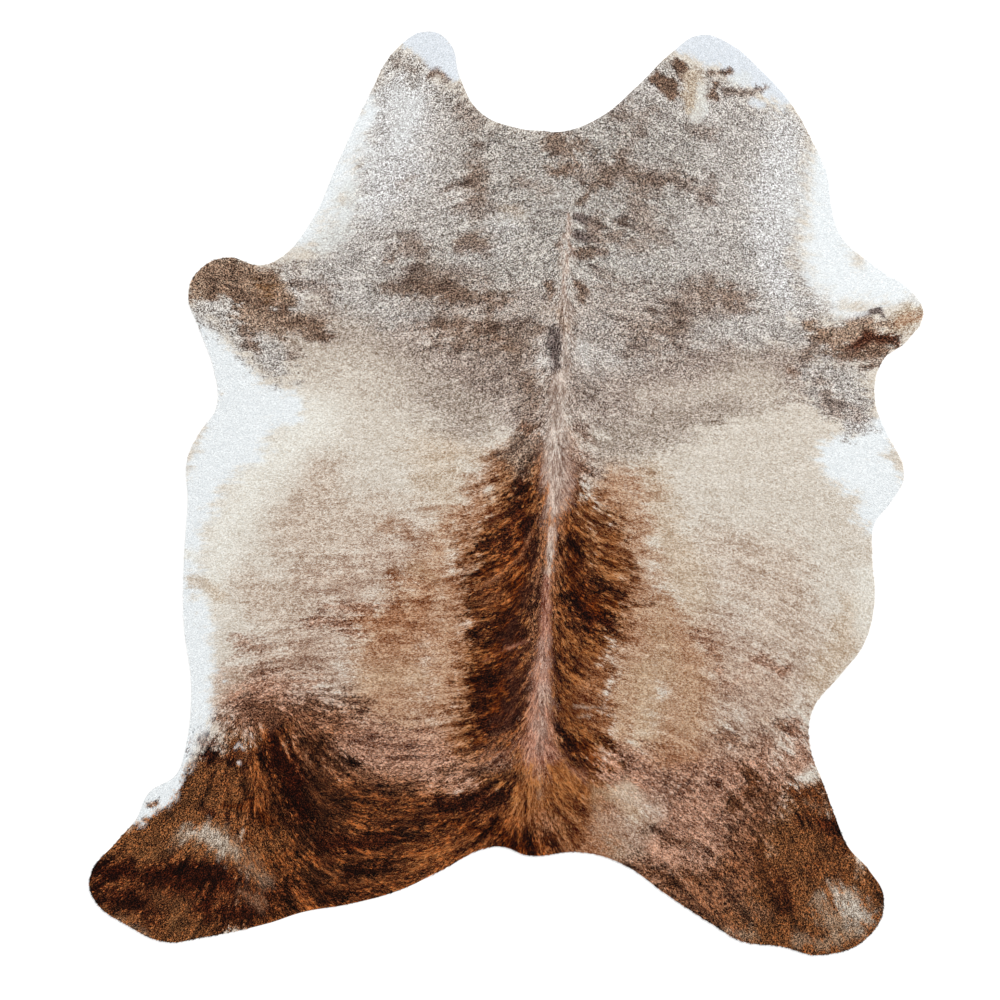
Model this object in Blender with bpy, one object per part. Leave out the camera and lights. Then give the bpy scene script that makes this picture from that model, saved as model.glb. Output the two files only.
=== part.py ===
"""A cowhide rug: one whole hair-on hide, laid out flat with the hair side up.

Frame: metres, +Z up, +Y from the rump towards the neck. The origin is the middle
of the hide's outline, on the floor that the hide lies on.
"""

import bpy
from mathutils import Vector

# Driving dimensions, in metres.
LEATHER_THICKNESS = 0.0025
PILE_DEPTH = 0.0035
HIDE_THICKNESS = LEATHER_THICKNESS + PILE_DEPTH

# The cut edge, clockwise from the left side of the neck, in stretches named for what
# they border. Each row is a point on the edge: its centimetres across (to the right)
# and along (towards the neck) from the middle of the hide.
CENTIMETRE = 0.01
EDGE_STRETCHES = {
    "left tip of the neck": (
        (-24.7, 102.9),
        (-17.7, 106.4),
        (-12.9, 103.6),
        (-10.7, 95.9),
    ),
    "hollow of the neck": (
        (-6.0, 87.8),
        (3.2, 84.0),
        (8.1, 83.5),
        (12.7, 83.3),
        (21.7, 86.7),
        (30.7, 94.3),
        (38.0, 101.4),
    ),
    "right tip of the neck": (
        (44.7, 105.6),
        (51.4, 103.6),
        (58.8, 97.3),
        (65.7, 89.6),
    ),
    "right side of the neck": (
        (70.8, 80.5),
        (73.9, 73.6),
        (75.0, 66.0),
        (77.0, 59.5),
    ),
    "right foreleg": (
        (86.0, 51.5),
        (93.2, 46.6),
        (96.0, 41.5),
        (92.4, 35.2),
        (86.7, 30.5),
        (84.9, 21.6),
    ),
    "right chest": (
        (87.4, 14.4),
        (91.6, 4.0),
        (88.7, -1.9),
        (84.8, -7.2),
    ),
    "right flank": (
        (84.3, -14.6),
        (84.8, -24.8),
        (82.5, -34.4),
        (77.0, -41.8),
        (70.8, -49.5),
        (69.7, -56.4),
        (73.8, -69.0),
        (76.1, -75.3),
    ),
    "right hind leg": (
        (78.8, -81.5),
        (83.7, -87.0),
        (87.0, -93.3),
        (84.0, -101.6),
        (72.6, -106.4),
        (63.2, -104.4),
        (54.3, -103.2),
    ),
    "rump": (
        (47.5, -99.3),
        (37.3, -92.7),
        (26.3, -85.2),
        (17.1, -82.7),
        (4.8, -83.4),
        (-0.5, -81.5),
        (-4.6, -81.7),
        (-15.2, -87.0),
        (-24.7, -91.5),
    ),
    "left hind leg": (
        (-36.4, -94.7),
        (-46.8, -96.5),
        (-54.9, -99.1),
        (-70.3, -102.4),
        (-78.4, -103.4),
        (-87.1, -99.7),
        (-95.0, -93.5),
        (-95.9, -88.5),
        (-89.4, -79.9),
        (-85.1, -74.9),
    ),
    "left flank": (
        (-82.3, -69.0),
        (-76.1, -64.9),
        (-74.0, -59.4),
        (-72.5, -44.7),
        (-74.2, -30.0),
        (-74.2, -16.1),
        (-73.3, -1.1),
        (-73.5, 7.3),
    ),
    "left chest": (
        (-70.6, 13.9),
        (-66.7, 19.9),
        (-67.0, 27.5),
        (-70.6, 37.9),
    ),
    "left foreleg": (
        (-73.2, 45.9),
        (-70.6, 51.5),
        (-64.3, 54.3),
        (-56.7, 52.5),
        (-52.3, 54.0),
    ),
    "left side of the neck": (
        (-45.2, 62.1),
        (-38.3, 77.1),
        (-32.0, 90.6),
    ),
}
STEPS_BETWEEN_EDGE_POINTS = 6

# The coat's middle colour and its sheen, taken over the whole hide.
COAT_COLOUR = (0.34, 0.23, 0.16, 1.0)
COAT_ROUGHNESS = 0.62


def clear_scene():
    """Remove every object that the scene holds."""
    for thing in list(bpy.data.objects):
        bpy.data.objects.remove(thing, do_unlink=True)


def coat_material():
    """Short brown and cream hair on tanned leather."""
    material = bpy.data.materials.new("hair_on_leather")
    material.use_nodes = True
    material.diffuse_color = COAT_COLOUR
    shader = material.node_tree.nodes["Principled BSDF"]
    shader.inputs["Base Color"].default_value = COAT_COLOUR
    shader.inputs["Roughness"].default_value = COAT_ROUGHNESS
    shader.inputs["Metallic"].default_value = 0.0
    return material


def edge_points():
    """The edge's points in metres, in order round the hide."""
    points = []
    for stretch in EDGE_STRETCHES.values():
        for across, along in stretch:
            points.append(Vector((across, along, 0.0)) * CENTIMETRE)
    return points


def hide_curve():
    """The hide's smooth closed outline as a filled curve of the hide's thickness."""
    curve = bpy.data.curves.new("hide_outline", "CURVE")
    curve.dimensions = "2D"
    curve.fill_mode = "BOTH"
    curve.resolution_u = STEPS_BETWEEN_EDGE_POINTS
    curve.extrude = HIDE_THICKNESS / 2

    points = edge_points()
    spline = curve.splines.new("BEZIER")
    spline.bezier_points.add(len(points) - 1)
    spline.use_cyclic_u = True
    for bezier_point, place in zip(spline.bezier_points, points):
        bezier_point.co = place
        bezier_point.handle_left_type = "AUTO"
        bezier_point.handle_right_type = "AUTO"
    return curve


def stand_on_origin(piece):
    """Put the middle of the piece's box over the origin, with its lowest face at z = 0."""
    bpy.context.view_layer.update()
    corners = [Vector(corner) for corner in piece.bound_box]
    lowest = Vector(min(corner[axis] for corner in corners) for axis in range(3))
    highest = Vector(max(corner[axis] for corner in corners) for axis in range(3))
    middle = (lowest + highest) / 2
    piece.location = (-middle.x, -middle.y, -lowest.z)


def main():
    clear_scene()
    rug = bpy.data.collections.new("cowhide_rug")
    bpy.context.scene.collection.children.link(rug)

    hide = bpy.data.objects.new("hide", hide_curve())
    hide.data.materials.append(coat_material())
    rug.objects.link(hide)
    stand_on_origin(hide)


main()
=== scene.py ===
"""A cowhide rug: one whole hair-on hide, laid flat with the hair side up.

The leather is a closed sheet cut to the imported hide's own outline. Its coat is nearly
eight hundred thousand locks of short hair in four layers, which lie the way the hair of
the living animal grows: tailwards along the back, and outwards down the flanks and legs.
The brindle coat is painted by the marking tables below, in centimetres from the middle
of the hide.
"""

import math

import bpy
import numpy as np
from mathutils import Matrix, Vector
from mathutils.geometry import delaunay_2d_cdt


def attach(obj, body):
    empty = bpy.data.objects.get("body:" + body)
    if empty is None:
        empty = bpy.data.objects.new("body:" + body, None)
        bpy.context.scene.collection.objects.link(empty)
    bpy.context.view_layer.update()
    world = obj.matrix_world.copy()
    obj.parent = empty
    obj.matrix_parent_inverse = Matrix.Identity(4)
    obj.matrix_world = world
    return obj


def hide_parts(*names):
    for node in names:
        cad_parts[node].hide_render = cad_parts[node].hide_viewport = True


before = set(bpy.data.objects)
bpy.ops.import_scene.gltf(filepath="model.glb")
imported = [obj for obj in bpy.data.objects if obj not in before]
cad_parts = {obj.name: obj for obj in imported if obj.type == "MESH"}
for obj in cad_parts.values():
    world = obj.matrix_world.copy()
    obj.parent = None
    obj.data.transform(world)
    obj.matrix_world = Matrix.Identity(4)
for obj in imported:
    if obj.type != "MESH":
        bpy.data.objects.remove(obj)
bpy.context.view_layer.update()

# ---------------------------------------------------------------- sizes, in metres
MM = 0.001
CM = 0.01
SEED = 7

RUG_AREA = 2.82  # square metres

SKIN_TOP = 3.0 * MM  # the leather and the roots of the hair, pressed flat
SKIN_EDGE_ROUND = 1.6 * MM  # how far in from the cut edge the top starts to fall
EDGE_RINGS = (
    # inset and height, from the flat underside up the cut edge to the top
    (0.5 * MM, 0.0),
    (0.0, 0.5 * MM),
    (0.0, SKIN_TOP - SKIN_EDGE_ROUND * 0.7),
    (SKIN_EDGE_ROUND * 0.3, SKIN_TOP - SKIN_EDGE_ROUND * 0.25),
    (SKIN_EDGE_ROUND, SKIN_TOP),
)
BARE_RINGS = 2  # the steps of the cut edge that no hair covers
EDGE_STEP = 6 * MM  # between points of the outline
EDGE_REACH = 25 * MM  # how far from the cut edge its distance is worked out
TOP_MESH = 9 * MM  # between points of the hair side, which carry the roots' colours
TOP_INSET = SKIN_EDGE_ROUND + 3 * MM
UNDER_MESH = 45 * MM  # between points of the flesh side, which is plain
UNDER_INSET = 12 * MM

# A lock stands for a few hairs together, and is as wide as it needs to be to show.
HAIR_LAYERS = {
    # name: lock length, lock width, lift off the skin in degrees
    "hair_under": (11 * MM, 1.9 * MM, 8),
    "hair_lower": (12 * MM, 1.6 * MM, 10),
    "hair_upper": (13 * MM, 1.4 * MM, 12),
    "hair_guard": (15 * MM, 1.2 * MM, 14),
}
LOCKS_A_LAYER = 195000
ROW_STEP = 0.866  # between rows of a staggered grid, in steps along a row
ROOT_INSET = 0.6 * MM  # the nearest a root may be to the cut edge
ROOT_DEPTH = 0.2 * MM  # how far below the skin's top a root stands
OVERHANG = 1.5 * MM  # how far a lock may reach past the cut edge
SHORT_LOCK, DRAWN_OUT_GAIN, DRAWN_OUT_POWER = 0.29, 0.71, 1.3  # of a layer's lock length
LENGTH_SPREAD = (0.8, 1.2)
SHORTEST_KEPT = 0.2  # of a layer's lock length
SHORT_THICK, DRAWN_OUT_THINNER = 1.4, 0.55  # of a layer's lock width
SHORT_STRAY, DRAWN_OUT_STRAIGHTER = 24, 12  # degrees that locks stray sideways
LIFT_SPREAD, LIFT_ENDS = 3, (2, 25)  # degrees
ROLL = 28  # degrees that a lock may turn about its own length
SEEN_AT = 0.55  # the part of a lock that is seen, from its root

# The coat is worked out on a grid of square cells over the whole hide.
CELL = 2.5 * MM
GRID_LOW = (-1.00, -1.10)
GRID_CELLS = (800, 880)  # across, along

# How noises mottle the coat: blob width and the length combed along the hair, in cm.
MOTTLING = {
    "fleck": (0.3, 2.4),
    "short fleck": (0.24, 0),
    "stripe": (0.7, 8.0),
    "broad stripe": (2.2, 11.0),
    "blotch": (2.5, 0),
}
DRAWN_OUT_BAND = {"stripe": 0.75, "broad stripe": 0.65}
SHORT_BAND = {"blotch": 0.5, "stripe": 0.85}
BRINDLE_HOLD = 0.6  # how much of its flecks a brindle coat gives up for bands
SHARE_PULL = 0.78  # how strongly a coat's share of dark hair tells
BLEND, SHORT_BLEND = 2.5, 0.7  # noise from pale to dark, and how much less in short hair
SHORT_SHADE = 0.08  # painted shade: how much darker short hair is, as its roots in shadow show
TONE_ENDS = (-0.12, 1.25)  # how far past the coat's pale and dark hair single locks go
SKIN_GRIT, HAIR_GRIT = 0.45, 1.1  # how much single locks differ from their marking
SHORT_GRIT = 0.9  # how much more they differ in short hair
CELL_GRIT, LOCK_GRIT = 0.92, 0.4  # shared by locks that grow together, and a lock's own
ROOT_FLECKS = {"pale_roots": -1.5, "dark_roots": 1.5}  # deviations from the mean fleck
RAGGED, RAGGED_SOFT = 0.4, 3.0  # how ragged a marking's edge is, and the softest such edge
FALL_SPREAD = 40  # square centimetres near which one row of the fall table holds alone

# ---------------------------------------------------------------- hair direction
# The line of the back, from the neck to the tail: centimetres across and along.
SPINE = (
    (14.8, 90.0),
    (14.5, 68.0),
    (13.6, 54.0),
    (13.0, 40.0),
    (12.3, 26.0),
    (11.3, 12.0),
    (10.6, -2.0),
    (10.0, -15.0),
    (9.4, -27.0),
    (8.8, -40.0),
    (8.2, -50.0),
    (6.8, -60.0),
    (5.4, -72.0),
    (4.6, -86.0),
)
# How far from the back's line the hair turns from tailward to outward, at heights along.
SPINE_TURN = ((90, 2), (60, 3), (40, 5), (20, 7), (-20, 8.5), (-42, 7), (-60, 8.5), (-90, 12))

# The fall of the hair away from the back's line: degrees below straight outward.
HAIR_FALL = (
    # across, along, fall
    (-17, 100, 40),
    (-30, 75, 28),
    (-5, 70, 18),
    (-45, 50, 5),
    (-65, 46, -22),
    (-25, 45, 10),
    (-40, 25, 2),
    (-60, 5, 6),
    (-30, 0, 2),
    (-60, -20, 6),
    (-25, -30, 0),
    (-60, -42, 16),
    (-35, -50, 2),
    (-15, -60, 4),
    (-66, -62, 62),
    (-75, -72, 56),
    (-60, -72, 80),
    (-52, -60, -64),
    (-49, -70, -70),
    (-46, -80, -62),
    (-55, -84, -64),
    (-40, -64, -48),
    (-38, -71, -12),
    (-42, -86, -30),
    (-33, -88, -3),
    (-24, -71, 3),
    (-18, -83, 9),
    (-78, -86, 40),
    (-92, -90, 30),
    (-62, -92, 66),
    (-50, -93, -45),
    (48, 98, 50),
    (60, 80, 40),
    (35, 72, 18),
    (55, 50, 14),
    (85, 38, -18),
    (30, 40, 8),
    (78, 20, 10),
    (55, 15, 2),
    (35, 0, 2),
    (75, -10, 30),
    (45, -28, 10),
    (65, -40, 36),
    (34, -46, 4),
    (55, -46, 26),
    (60, -60, 44),
    (34, -66, 24),
    (45, -80, 36),
    (26, -82, 22),
    (56, -70, 42),
    (68, -80, 70),
    (75, -86, 64),
    (60, -95, 64),
    (46, -91, 44),
    (72, -100, 72),
    (84, -98, 60),
)

# ---------------------------------------------------------------- coats
# Each coat: its pale hair, its dark hair, the share of dark, how much of the
# mottling runs in long brindle stripes, and how long its flecks are drawn out (0 to 1).
COATS = {
    "cool white": ("E2E6EB", "D2D7DC", 0.35, 0.0, 0.2),
    "white": ("EEF1F2", "DEE2E4", 0.35, 0.0, 0.2),
    "warm white": ("E8EBE9", "D0D0CD", 0.35, 0.1, 0.1),
    "grey fleck": ("EFEEED", "756B64", 0.34, 0.15, 0.0),
    "light taupe": ("E7E2DC", "63554C", 0.44, 0.5, 0.0),
    "taupe fleck": ("DFD9D1", "473427", 0.50, 0.6, 0.0),
    "grey taupe": ("DFD4CA", "4D372A", 0.47, 0.55, 0.05),
    "umber fleck": ("C6B0A0", "2C1006", 0.57, 0.6, 0.0),
    "bark": ("AE8C75", "1C0400", 0.65, 0.45, 0.05),
    "black fleck": ("92807A", "1A0E0C", 0.62, 0.3, 0.1),
    "leg bark": ("D2B298", "2A0A00", 0.55, 0.3, 0.0),
    "rust fleck": ("9C7048", "321000", 0.57, 0.3, 0.1),
    "mushroom": ("D9CCC1", "5C4436", 0.46, 0.55, 0.15),
    "oat": ("D3C7BC", "725F4C", 0.41, 0.3, 0.15),
    "pale oat": ("E3DDD3", "B4A494", 0.40, 0.3, 0.2),
    "pale cream": ("EFEEE8", "D6D0C5", 0.33, 0.2, 0.2),
    "cream": ("E4DED5", "BDB0A0", 0.35, 0.25, 0.25),
    "sand": ("DDCEBC", "A68C70", 0.38, 0.5, 0.3),
    "beige": ("E2D6C9", "A48B76", 0.39, 0.65, 0.3),
    "rose beige": ("D6C2B0", "896550", 0.40, 0.75, 0.35),
    "rose brown": ("DCB298", "52240D", 0.50, 0.7, 0.4),
    "light tan": ("D8C1A7", "9E7A59", 0.38, 0.55, 0.3),
    "tan": ("D2B498", "905F40", 0.43, 0.7, 0.3),
    "honey": ("C69876", "723A16", 0.46, 0.7, 0.4),
    "tail tan": ("C08657", "64300F", 0.46, 0.4, 0.9),
    "rust": ("C48650", "421200", 0.55, 0.65, 0.8),
    "deep rust": ("C87C44", "180000", 0.65, 0.7, 0.7),
    "burnt rust": ("823808", "140000", 0.66, 0.65, 0.8),
    "cocoa fleck": ("9C6A50", "140200", 0.6, 0.2, 0.0),
    "umber rose": ("C28862", "160000", 0.55, 0.6, 0.5),
    "cocoa": ("885230", "110200", 0.68, 0.7, 0.6),
    "chestnut": ("C07C4A", "0A0000", 0.69, 0.55, 0.2),
    "dark chestnut": ("A66034", "060000", 0.74, 0.5, 0.2),
    "near black": ("763016", "050000", 0.86, 0.5, 0.35),
    "blue black": ("683E2E", "260C02", 0.60, 0.5, 0.7),
    "pink cream": ("E6DAD0", "8E7668", 0.41, 0.3, 0.8),
    "pink taupe": ("E0CBBD", "8E6A5A", 0.42, 0.4, 0.8),
    "pink brown": ("DEB09A", "7A4634", 0.46, 0.4, 0.8),
    "pale tan": ("DED2C0", "8C745E", 0.42, 0.3, 0.15),
    "leg grey": ("E2DACE", "7A6654", 0.37, 0.3, 0.1),
}

# ---------------------------------------------------------------- markings
# Each marking is a brush stroke: its coat, how much it covers (0 to 1), how softly its
# edge ends in centimetres, and its path, a row for each place: centimetres across,
# centimetres along and the brush's half width. Later strokes lie over earlier ones.
GROUND = (
    ("cream", 1.0, 1, (0, 0, 200)),
    # left flank
    ("pale cream", 0.9, 12, (-44, 17, 6), (-57, 4, 6), (-65, -9, 5), (-68, -24, 4)),
    ("sand", 0.6, 10, (-17, 8, 5), (-14, -2, 6)),
    ("beige", 0.9, 11, (-42, 3, 4), (-46, -9, 8), (-34, -9, 8), (-20, -8, 5)),
    ("beige", 0.9, 10, (-58, -22, 4), (-50, -28, 8), (-42, -20, 7)),
    ("rose beige", 0.8, 10, (-52, -40, 4), (-42, -35, 5), (-32, -18, 5), (-22, -16, 6)),
    ("rose beige", 0.6, 8, (-58, -37, 3), (-42, -40, 5)),
    ("rose beige", 0.6, 6, (-46, -20, 2), (-37, -20, 3)),
    ("tan", 1.0, 10, (-13, -6, 2), (-17, -20, 5), (-26, -34, 9), (-28, -48, 8), (-22, -57, 7)),
    ("honey", 0.5, 8, (-14, -20, 2), (-17, -32, 4), (-15, -44, 4), (-14, -57, 5)),
    ("tan", 1.0, 6, (-13, -24, 4), (-14, -46, 5)),
    ("honey", 0.5, 5, (-29, -34, 2.5), (-17, -33, 3)),
    ("honey", 0.7, 4, (-34, -31, 1), (-26, -30, 3), (-20, -26, 2)),
    ("light tan", 0.6, 5, (-32, -43, 3), (-20, -42, 2)),
    ("light tan", 0.5, 4, (-21, -18, 1.5), (-17, -19.5, 1)),
    ("rose brown", 1.0, 9, (-62, -46, 5), (-56, -50, 9), (-45, -55, 8), (-34, -58, 7)),
    ("rose brown", 0.6, 2, (-41, -26, 1), (-34, -26.5, 1.5), (-27, -25.5, 1)),
    ("rose brown", 0.7, 2, (-46, -30, 0.8), (-41, -29.5, 1), (-33, -33, 1.2)),
    ("honey", 0.7, 3, (-32, -29, 1.5), (-24, -28, 1.5)),
    ("honey", 0.3, 2, (-29, -8, 1), (-23, -8.5, 1)),
    ("honey", 0.7, 2, (-25, -20, 1), (-19, -22, 1.5)),
    ("rose beige", 0.6, 6, (-47, -41, 3), (-38, -43, 3)),
    ("rose brown", 0.5, 3, (-61, -34, 1.5), (-57, -35, 1)),
    ("rose brown", 0.5, 3, (-48, -43.5, 1.5), (-43, -43, 1.5)),
    ("umber rose", 0.7, 7, (-50, -52, 3), (-42, -51, 3), (-36, -50, 3), (-34, -56, 2)),
    ("umber rose", 0.8, 5, (-40, -56, 3), (-31, -62, 2.5)),
    # right flank
    ("beige", 0.7, 10, (48, -13, 5), (64, -15, 5), (70, -46, 5)),
    ("sand", 0.9, 8, (33, 4, 3), (36, -8, 4), (42, -20, 6), (44, -27, 5)),
    ("tan", 0.9, 8, (24, 6, 3), (27, -6, 5), (29, -20, 6), (30, -32, 7), (30, -44, 5)),
    ("honey", 0.7, 6, (25, -10, 3), (27, -24, 4), (28, -33, 3)),
    ("beige", 0.9, 11, (54, -20, 6), (64, -24, 5), (60, -33, 8), (70, -34, 4)),
    ("rose beige", 0.9, 9, (48, -33, 5), (54, -44, 8), (62, -44, 5), (58, -56, 6)),
    ("tan", 1.0, 9, (36, -30, 5), (42, -38, 6), (43, -48, 6), (40, -58, 8)),
    ("light tan", 0.9, 7, (32, -42, 4), (30, -50, 5), (31, -57, 4)),
    ("honey", 0.8, 5, (24, -62, 3), (32, -62, 3), (42, -62, 4), (50, -58, 2)),
    ("rose brown", 1.0, 9, (58, -62, 5), (50, -66, 7), (44, -74, 9), (40, -84, 7)),
    ("rose brown", 0.7, 3, (30, -65, 2), (38, -66, 3), (46, -62, 2)),
    ("light tan", 0.6, 4, (36, -28, 2), (37, -40, 3)),
    ("tan", 1.0, 4, (26, -46, 3), (27, -66, 3)),
    ("light tan", 0.7, 5, (26, -46, 2), (26, -55, 1.5)),
    ("honey", 0.9, 4, (22, -34, 3), (21.5, -45, 3), (22, -55, 3)),
    ("light tan", 0.5, 6, (42, -42, 3), (42, -53, 3)),
    ("tan", 0.6, 5, (20, 4, 3), (27, 0, 4), (31, -8, 3)),
    ("honey", 0.5, 4, (20, 0, 2), (24, -3, 2)),
    ("tan", 0.4, 5, (28, 4, 2), (33, 0, 2)),
    ("rose brown", 0.6, 2, (44, -33, 1), (47, -35.5, 1.3)),
    ("rose brown", 0.6, 2.5, (49, -41, 1), (52, -45, 1.5), (58, -38, 1), (63, -41.5, 1.6)),
    ("umber rose", 0.7, 2, (61, -53, 1), (66, -55, 1.3)),
    ("umber rose", 0.6, 2, (50, -56, 1), (56, -59, 1.3)),
    ("rose brown", 0.5, 2.5, (55, -42.5, 1.2), (58, -44, 1)),
    ("rose beige", 0.6, 6, (50, -50, 3), (56, -44, 3)),
    ("beige", 0.9, 3, (-67, -46, 2), (-63, -43, 2.5)),
    ("rose beige", 0.5, 4, (46, -58, 2), (57, -60, 2)),
    ("sand", 0.8, 6, (80, -26, 2), (77, -36, 3), (72, -44, 2)),
    ("pale cream", 0.7, 4, (83, -19, 2), (82, -30, 2)),
    ("rose brown", 0.9, 5, (67, -54, 2), (68, -62, 3), (64, -66, 3)),
    # neck and shoulders
    ("light taupe", 1.0, 7, (-22, 88, 10), (-18, 66, 18), (-28, 52, 16), (20, 48, 24)),
    ("light taupe", 1.0, 7, (30, 76, 24), (44, 72, 22), (44, 50, 22), (8, 38, 14)),
    ("taupe fleck", 1.0, 8, (-24, 50, 8), (-8, 50, 13), (12, 56, 20), (42, 56, 14)),
    ("taupe fleck", 1.0, 7, (-12, 86, 5), (-4, 76, 9), (14, 74, 11), (36, 79, 11)),
    ("light taupe", 1.0, 8, (-35, 53, 4), (-28, 60, 8), (-20, 66, 8), (-15, 86, 4)),
    ("grey fleck", 1.0, 8, (-23, 97, 5), (-25, 87, 8), (-26, 76, 8), (-30, 67, 4)),
    ("light taupe", 1.0, 8, (50, 90, 5), (54, 80, 8), (52, 68, 8), (44, 58, 6), (56, 50, 5)),
    ("grey fleck", 1.0, 7, (64, 84, 4), (63, 73, 6), (61, 62, 6), (61, 52, 5), (66, 44, 4)),
    ("grey taupe", 1.0, 8, (-22, 41, 5), (-8, 41, 8), (10, 40, 8), (42, 40, 7)),
    ("mushroom", 1.0, 7, (-24, 34, 5), (-10, 29, 7), (0, 24, 8), (8, 17, 7)),
    ("mushroom", 1.0, 7, (14, 24, 8), (26, 23, 8), (40, 26, 7), (50, 31, 5)),
    ("light taupe", 0.5, 6, (20, 30, 4), (30, 31, 3)),
    ("umber fleck", 0.4, 6, (-10, 28, 4), (2, 26, 4), (6, 18, 4)),
    ("umber fleck", 0.4, 4, (16, 24, 1.5), (17, 15, 1.5)),
    ("sand", 0.7, 5, (-12, 10, 3), (-6, 9, 2.5)),
    ("oat", 1.0, 9, (-46, 36, 6), (-32, 34, 6), (-20, 25, 5), (-8, 17, 5)),
    ("oat", 1.0, 7, (22, 9, 3), (36, 15, 4), (48, 20, 4), (58, 27, 6), (67, 31, 4)),
    ("pale oat", 0.8, 8, (-45, 31, 5), (-34, 29, 5), (-26, 25, 4)),
    ("pale oat", 0.7, 5, (32, 22, 2.5), (48, 24.5, 2), (60, 25, 3.5)),
    ("light taupe", 1.0, 6, (54, 42, 4), (60, 39, 5), (67, 37, 3)),
    ("grey fleck", 0.7, 5, (66, 43, 3), (73, 43, 3)),
    ("light taupe", 0.8, 4, (68, 50, 1), (67, 44, 2), (80, 28, 2.5)),
    ("mushroom", 0.9, 6, (62, 32, 2), (67, 30, 4), (68, 25, 3)),
    # rump and hind legs
    ("rose brown", 1.0, 6, (-30, -62, 9), (0, -64, 9), (28, -66, 8)),
    ("umber rose", 1.0, 6, (-52, -64, 10), (-40, -82, 20), (-10, -82, 15), (14, -80, 14)),
    ("rose brown", 1.0, 7, (34, -86, 9), (48, -80, 14), (60, -68, 6)),
    ("umber rose", 1.0, 7, (-50, -52, 3), (-42, -58, 6), (-34, -66, 6), (-20, -70, 5)),
    ("rose brown", 1.0, 5, (-36, -60, 5), (-24, -63, 5), (-12, -64, 5), (0, -64, 4)),
    ("deep rust", 1.0, 7, (-40, -76, 12), (-20, -80, 11), (-4, -76, 8), (6, -84, 7)),
    ("honey", 1.0, 6, (9, -60, 6), (14, -70, 8), (20, -80, 8)),
    ("rust", 0.8, 6, (12, -68, 4), (15, -78, 4), (18, -66, 3)),
    ("tan", 0.7, 4, (20, -72, 1.5), (21, -80, 2)),
    ("chestnut", 1.0, 4, (-62, -60, 5), (-66, -70, 11), (-76, -88, 18), (-90, -94, 14)),
    ("deep rust", 1.0, 5, (-54, -54, 5), (-53, -72, 9), (-50, -90, 16), (-30, -94, 12)),
    ("umber rose", 1.0, 7, (44, -95, 9), (52, -96, 11), (56, -80, 5), (60, -70, 3)),
    ("chestnut", 1.0, 6, (70, -72, 6), (70, -84, 12), (70, -98, 16), (80, -98, 13)),
)
WHITES = (
    ("white", 1.0, 5, (-50, 58, 3), (-44, 65, 4), (-40, 72, 4), (-36, 81, 3), (-32, 89, 2)),
    ("warm white", 0.8, 4, (-42, 56, 2), (-38, 61, 3), (-36, 68, 2.5)),
    ("white", 0.6, 4, (-40, 63, 2), (-34, 65, 2)),
    ("white", 0.4, 5, (-32, 80, 3), (-31, 76, 2)),
    ("white", 0.5, 5, (-23, 90, 3), (-24, 82, 3)),
    ("cool white", 1.0, 1.5, (-24, 104.8, 2), (-17.5, 104, 4.5), (-13.8, 100.5, 4.2),
        (-12.5, 98, 2.8)),
    ("cool white", 1.0, 2, (42, 105, 4), (50, 102.5, 5), (57, 98.5, 5), (65, 93, 4)),
    ("white", 1.0, 6, (75, 76, 4), (74, 62, 5), (75, 54, 6), (78, 48, 5), (92, 49, 5)),
    ("white", 0.4, 6, (66, 76, 2), (66, 66, 3), (66, 58, 2)),
    ("white", 1.0, 2.5, (88, 16, 3), (82, 9, 4.5), (78, 8, 6), (86, 2, 6), (86, -6, 5)),
    ("white", 0.9, 2, (-72, 41, 1.5), (-72, 38, 2)),
    ("white", 1.0, 3, (-71, 38, 3), (-66, 30, 5), (-60, 22, 6), (-50, 19, 4)),
    ("white", 1.0, 4, (-62, 15, 8), (-69, 4, 5), (-74, -8, 4), (-75, -24, 4)),
    ("white", 1.0, 4, (-73, -28, 5), (-72, -40, 5), (-72, -50, 4), (-75, -59, 4)),
    ("pale cream", 0.7, 1.5, (-73, -14, 1), (-71.5, -15, 1)),
    ("sand", 0.6, 1.5, (-72, -20, 1), (-69, -21, 1), (-66, -24, 1.5)),
    ("white", 1.0, 1.5, (-77, -62, 3.2), (-80.3, -68.8, 4), (-84.8, -73, 3.5), (-88, -76, 1.7)),
)
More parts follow.
